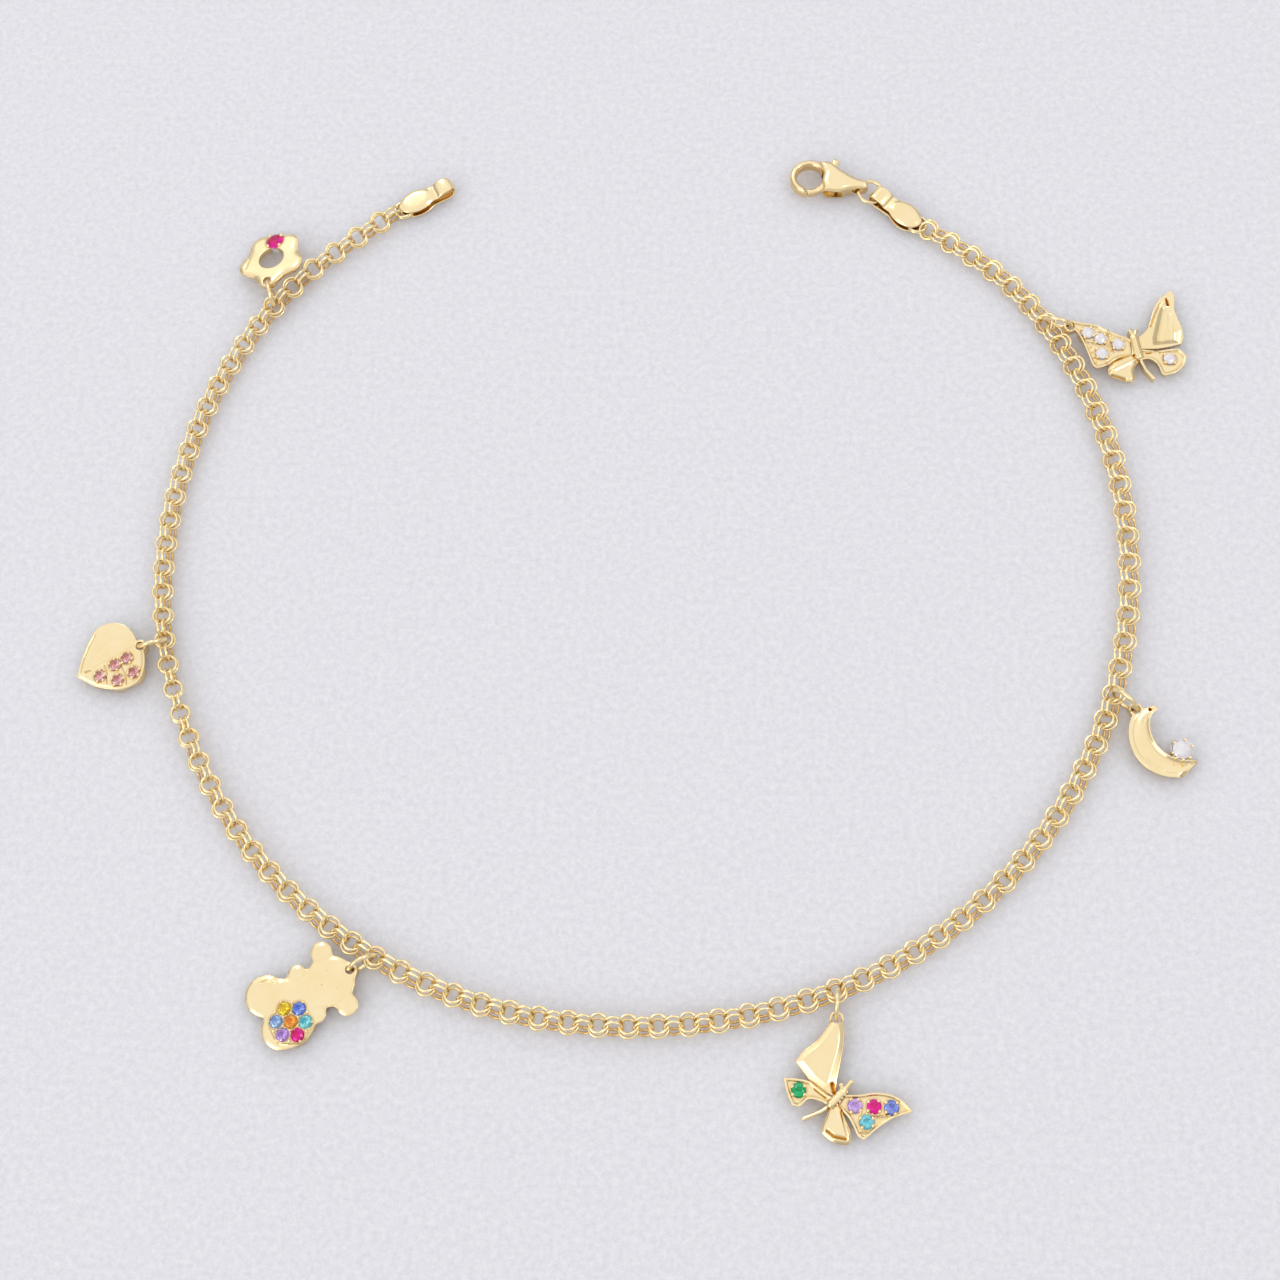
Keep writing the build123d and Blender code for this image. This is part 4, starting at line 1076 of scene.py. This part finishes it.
def folded_tag(node, tip, heading, round_end=False):
    """A strip folded over into an eye, with a domed oval plate at each end of it."""
    eye = TAG_LENGTH - TAG_EYE_RADIUS
    bend = TAG_EYE_RADIUS - TAG_METAL / 2
    tops = smooth_curve([(TAG_TIP, TAG_TIP_TOP), (1.4, TAG_TIP_TOP + 0.05), (2.8, TAG_TIP_TOP + 0.09),
                         (TAG_CREASE, TAG_TIP_TOP + 0.11)], 14)[:-1]
    rising = smooth_curve([(TAG_CREASE, TAG_TIP_TOP + 0.11), (4.45, 1.34), (4.85, 1.52),
                           (eye, TAG_EYE_RADIUS + bend)], 6)[:-1]
    turns = np.linspace(pi / 2, -pi / 2, 19)
    arc = np.column_stack([eye + bend * np.cos(turns), TAG_EYE_RADIUS + bend * np.sin(turns)])
    back = np.column_stack([np.linspace(eye, TAG_TIP, 44), np.full(44, TAG_METAL / 2)])[1:]
    line = np.vstack([tops, rising, arc, back])
    ahead = np.gradient(line, axis=0)
    ahead /= np.linalg.norm(ahead, axis=1)[:, None]
    outward = np.column_stack([-ahead[:, 1], ahead[:, 0]])
    along = line[:, 0]
    oval = np.sqrt(np.clip(1 - ((along - TAG_OVAL) / TAG_OVAL) ** 2, 0, 1)) * TAG_HALF_WIDTH
    band = TAG_HALF_BAND * (along > TAG_OVAL)
    if round_end:
        band *= np.sqrt(1 - 0.75 * np.clip((along - eye + 0.4) / (TAG_LENGTH - eye + 0.4), 0, 1) ** 2)
    half = -merged(-oval, -band, 0.12)
    upper = (np.arange(len(line)) < len(tops) + len(rising))[:, None]
    turn = around(40)
    across = half[:, None] * rounded(np.cos(turn), 0.55)
    out = TAG_METAL / 2 * rounded(np.sin(turn), 0.7)
    share = np.hypot((along[:, None] - TAG_OVAL) / TAG_OVAL, across / TAG_HALF_WIDTH)
    dome = 0.17 * rise(1 - share, 0.0, 0.32) * upper
    ridge = 0.06 * hump(along - TAG_CREASE + 0.1, 0.4)[:, None] * upper
    lift = out + dome - ridge * (1 - 0.3 * np.abs(across) / TAG_HALF_BAND)
    lifted = line[:, None] + outward[:, None] * lift[:, :, None]
    local = np.stack([lifted[:, :, 0], across, lifted[:, :, 1]], axis=-1)
    points = at(tip, 0) + local @ np.array([level(heading), level(heading + 90), UP])
    # painted shade: the strip's inner face and the fold at its crease are darkened towards amber
    crease = 0.25 * hump(along - TAG_CREASE - 0.05, 0.28)[:, None] * upper
    inner = np.clip(-np.sin(turn), 0, 1) * 0.45 + crease
    rows, columns = across.shape
    faces = closed_grid(rows, columns)[:(rows - 1) * columns]
    faces += [list(range(columns)), list(range(rows * columns - 1, (rows - 1) * columns - 1, -1))]
    strip = (np.column_stack([points.reshape(-1, 3), inner.ravel()]), [face[::-1] for face in faces])
    rivet = moved(rod(0.2, 0.1, 0.98, 20), at(tip + compass(heading, 0.75), 0))
    make_piece(f"{node}_fold", node, joined([strip, rivet]), gold)


CLASP_TAG_TIP = np.array([27.71, 45.28])
CLASP_TAG_HEADING = 140
folded_tag("end_tag", np.array([-26.4, 48.0]), 28, round_end=True)
folded_tag("clasp_tag", CLASP_TAG_TIP, CLASP_TAG_HEADING)

# ---- lobster clasp, in its own axes, which start in the middle of the hook ----

CLASP_PLACE = np.array([16.38, 50.9])
CLASP_HEADING = -10.3
CLASP_MIDDLE = 1.0    # height of its middle
HOOK_OUTER = 2.0
HOOK_INNER = 1.33
HOOK_HALF = 0.65    # half the hook's thickness
GATE_OUTER = 1.95
GATE_INNER = 1.41
GATE_REACH = 2.8
LEVER_HALF = 0.45
PIVOT = np.array([2.4, -0.2])
PIN_RADIUS = 0.28
TAIL_PLACE = 5.35
TAIL_HOLE = 0.45
TAIL_HOLE_HEADING = 60
CLASP_RING_RADIUS = 1.22
CLASP_RING_WIRE = 0.38
clasp_body = outline(
    (0.75, 1.85),
    [(1.9, 1.9), (3.1, 1.2), (4.2, 0.72), (5.2, 0.50), (5.9, 0.42), (6.15, 0.0), (5.9, -0.46),
     (5.2, -0.58), (4.3, -0.85), (3.3, -1.35), (1.85, -1.45)], (1.45, -0.5), (1.45, 0.5))
clasp_slot = np.array([(1.2, -2.4), (3.6, -2.4), (3.7, -0.4), (4.1, 0.6), (4.1, 2.6), (1.75, 2.6),
                       (1.75, 0.9), (1.2, 0.5)])
gate_root = np.array([(1.3, -1.45), (2.1, -0.9), (2.6, -0.6), (1.9, 0.1), (1.45, -0.45)])


def in_clasp(part):
    """A part from the clasp's own axes, moved to its place."""
    vertices, faces = part
    ways = np.array([level(CLASP_HEADING), level(CLASP_HEADING + 90), UP])
    points = at(CLASP_PLACE, CLASP_MIDDLE) + vertices[:, :3] @ ways
    return np.column_stack([points, vertices[:, 3:]]), faces


def to_ring(x, y, outer, inner):
    """Distance to a flat ring round the hook's middle, negative inside it."""
    return np.abs(np.hypot(x, y) - (outer + inner) / 2) - (outer - inner) / 2


def hook_distance(x, y):
    open_side = np.minimum(-to_circle(x, y, PIVOT, GATE_REACH + 0.06), 0.2 - y)
    return np.maximum(to_ring(x, y, HOOK_OUTER, HOOK_INNER), open_side)


def body_distance(x, y):
    return pierced(x, y, to_outline(x, y, clasp_body), ((0, 0), HOOK_INNER))


def clasp_distance(x, y):
    return merged(hook_distance(x, y), body_distance(x, y), 0.12)


def clasp_top(x, y):
    """The hook is round wire, and the body domed and thinner towards its tail."""
    hook = 1 - rolled(hook_distance(x, y), (HOOK_OUTER - HOOK_INNER) / 2)
    dome = 1 - rolled(body_distance(x, y), 0.7)
    swell = 0.60 + 0.40 * np.sqrt(dome) - 0.18 * rise(x, 3.2, 5.0)
    return np.where(body_distance(x, y) < 0, swell, 0.1 + (HOOK_HALF - 0.1) * hook**0.4)


def cut_away(piece, part):
    """Takes a solid, in the clasp's own axes, out of a piece."""
    corners, faces = in_clasp(part)
    mesh = bpy.data.meshes.new("cutter")
    mesh.from_pydata((corners * MM).tolist(), [], faces)
    cutter = linked("cutter", mesh)
    cut = piece.modifiers.new("cut", "BOOLEAN")
    cut.operation = "DIFFERENCE"
    cut.solver = "EXACT"
    cut.object = cutter
    bpy.context.view_layer.update()
    carved = bpy.data.meshes.new_from_object(piece.evaluated_get(bpy.context.evaluated_depsgraph_get()))
    piece.modifiers.clear()
    without_slivers(carved)
    piece.data = carved
    bpy.data.objects.remove(cutter)
    bpy.data.meshes.remove(mesh)


def prism(corners, step):
    """A solid between two copies of an outline, a step either way from it."""
    count = len(corners)
    sides = [[number, (number + 1) % count, count + (number + 1) % count, count + number]
             for number in range(count)]
    return (np.vstack([corners - step, corners + step]),
            [list(range(count))[::-1], list(range(count, 2 * count)), *sides])


clasp_plate = plate(clasp_distance, clasp_top, 0.06, 6.6, mirrored=True)
clasp_shell = make_piece("clasp_shell", "clasp_body", in_clasp(clasp_plate), gold)
cut_away(clasp_shell, prism(np.column_stack([clasp_slot, np.zeros(len(clasp_slot))]), 0.5 * UP))
hole_way = TAIL_HOLE_HEADING - CLASP_HEADING
turns = around(32)[:, None]
hole_corners = [TAIL_PLACE, 0, 0] + TAIL_HOLE * (np.cos(turns) * UP + np.sin(turns) * level(hole_way - 90))
cut_away(clasp_shell, prism(hole_corners, level(hole_way)))
clasp_shell.data.set_sharp_from_angle(angle=radians(35))
make_piece("clasp_pin", "clasp_body", in_clasp(moved(rod(PIN_RADIUS, -0.6, 0.6), (*PIVOT, 0))), gold)


def lever_distance(x, y):
    """The gate, its root, the boss at the pivot and the trigger."""
    gate = np.maximum(to_ring(x, y, GATE_OUTER, GATE_INNER), np.maximum(-x, y + 0.4))
    shape = merged(gate, to_outline(x, y, gate_root), 0.15)
    shape = merged(shape, to_circle(x, y, PIVOT, 0.68), 0.1)
    shape = merged(shape, to_segment(x, y, PIVOT, (2.33, 2.2)) - 0.33, 0.15)
    shape = merged(shape, to_circle(x, y, (2.35, 2.5), 0.4), 0.1)
    shape = np.maximum(shape, to_circle(x, y, PIVOT, GATE_REACH))
    return pierced(x, y, shape, (PIVOT, PIN_RADIUS + 0.05))


def lever_top(x, y):
    return LEVER_HALF - 0.2 * rolled(lever_distance(x, y), 0.25)


make_piece("clasp_gate", "clasp_lever", in_clasp(plate(lever_distance, lever_top, 0.1, 3.4, mirrored=True)),
           gold, body="lever")

tail = at(CLASP_PLACE + compass(CLASP_HEADING, TAIL_PLACE), CLASP_MIDDLE)
tag_eye = at(CLASP_TAG_TIP + compass(CLASP_TAG_HEADING, TAG_LENGTH - TAG_EYE_RADIUS), TAG_EYE_RADIUS)
ring_way = unit(tag_eye - tail)
ring_across = unit(np.array([-ring_way[1], ring_way[0], 0]))
ring_middle = tail + ring_way * (CLASP_RING_RADIUS + 0.02)
clasp_loop = ring_mesh(ring_middle, ring_way, ring_across, CLASP_RING_RADIUS, CLASP_RING_WIRE)
make_piece("clasp_loop", "clasp_ring", clasp_loop, gold, sharp=180)

# ---- surface, light and camera ----

FLOOR_HALF = 0.6    # in metres, as are the lights' places and sizes
floor_mesh = bpy.data.meshes.new("surface")
signs = ((-1, -1, 0), (1, -1, 0), (1, 1, 0), (-1, 1, 0))
floor_mesh.from_pydata((FLOOR_HALF * np.array(signs)).tolist(), [], [(0, 1, 2, 3)])
suede, tree, shader = node_material("pale_suede")
tone = ramp(tree, noise(tree, 1.6, 8.0, 0.8), (0.66, 0.65, 0.69), (0.79, 0.785, 0.82))
tree.links.new(tone, shader["Base Color"])
tree.nodes["Principled BSDF"].subsurface_method = "BURLEY"
for socket, value in (("Roughness", 0.9), ("Subsurface Weight", 1.0),
                      ("Subsurface Radius", (1.0, 0.8, 0.72)), ("Subsurface Scale", 6 * MM)):
    shader[socket].default_value = value
tree.links.new(relief(tree, noise(tree, 1.8, 5.0, 0.75), 0.2, 0.1), shader["Normal"])
floor_mesh.materials.append(suede)
linked("surface", floor_mesh)

LIGHTS = {
    # place, the place that it points at, size and power
    "softbox": ((0, 0.5, 0.6), (0, 0.5, 0), 2.2, 6.7),
    "fill": ((-0.5, -0.5, 0.4), (0, 0, 0), 0.5, 1.2),
    "back": ((-0.55, 0.95, 0.45), (0, 0, 0), 0.9, 0.55),
    "left_glint": ((-0.25, 0.5, 0.55), (0, 0, 0), 0.14, 0.35),
    "right_glint": ((0.4, -0.05, 0.5), (0, 0, 0), 0.12, 0.25),
}
for name, (place, aim, size, energy) in LIGHTS.items():
    lamp = bpy.data.lights.new(name, "AREA")
    lamp.shape = "SQUARE"
    lamp.size = size
    lamp.energy = energy
    holder = linked(name, lamp)
    holder.location = place
    holder.rotation_mode = "QUATERNION"
    holder.rotation_quaternion = (Vector(aim) - Vector(place)).to_track_quat("-Z", "Y")

world = bpy.data.worlds.new("studio")
bpy.context.scene.world = world
world.use_nodes = True
background = world.node_tree.nodes["Background"]
background.inputs["Color"].default_value = (0.98, 0.98, 1.0, 1)
background.inputs["Strength"].default_value = 0.56

camera_data = bpy.data.cameras.new("camera")
camera_data.sensor_width = 36
camera_data.lens = 64.69
camera_data.clip_start = 0.01
camera = linked("camera", camera_data)
looked_at = Vector((0.545, -2.42, 0)) * MM
camera.location = Vector(CAMERA_PLACE) * MM
toward = (looked_at - camera.location).normalized()
right = Vector((0.99734, 0.02600, -0.06807))
right = (right - toward * right.dot(toward)).normalized()
up = right.cross(toward)
turned = Matrix((right, up, -toward)).transposed().to_4x4()
camera.matrix_world = Matrix.Translation(camera.location) @ turned
bpy.context.scene.camera = camera
bpy.context.scene.view_settings.view_transform = "Standard"

bpy.context.view_layer.update()
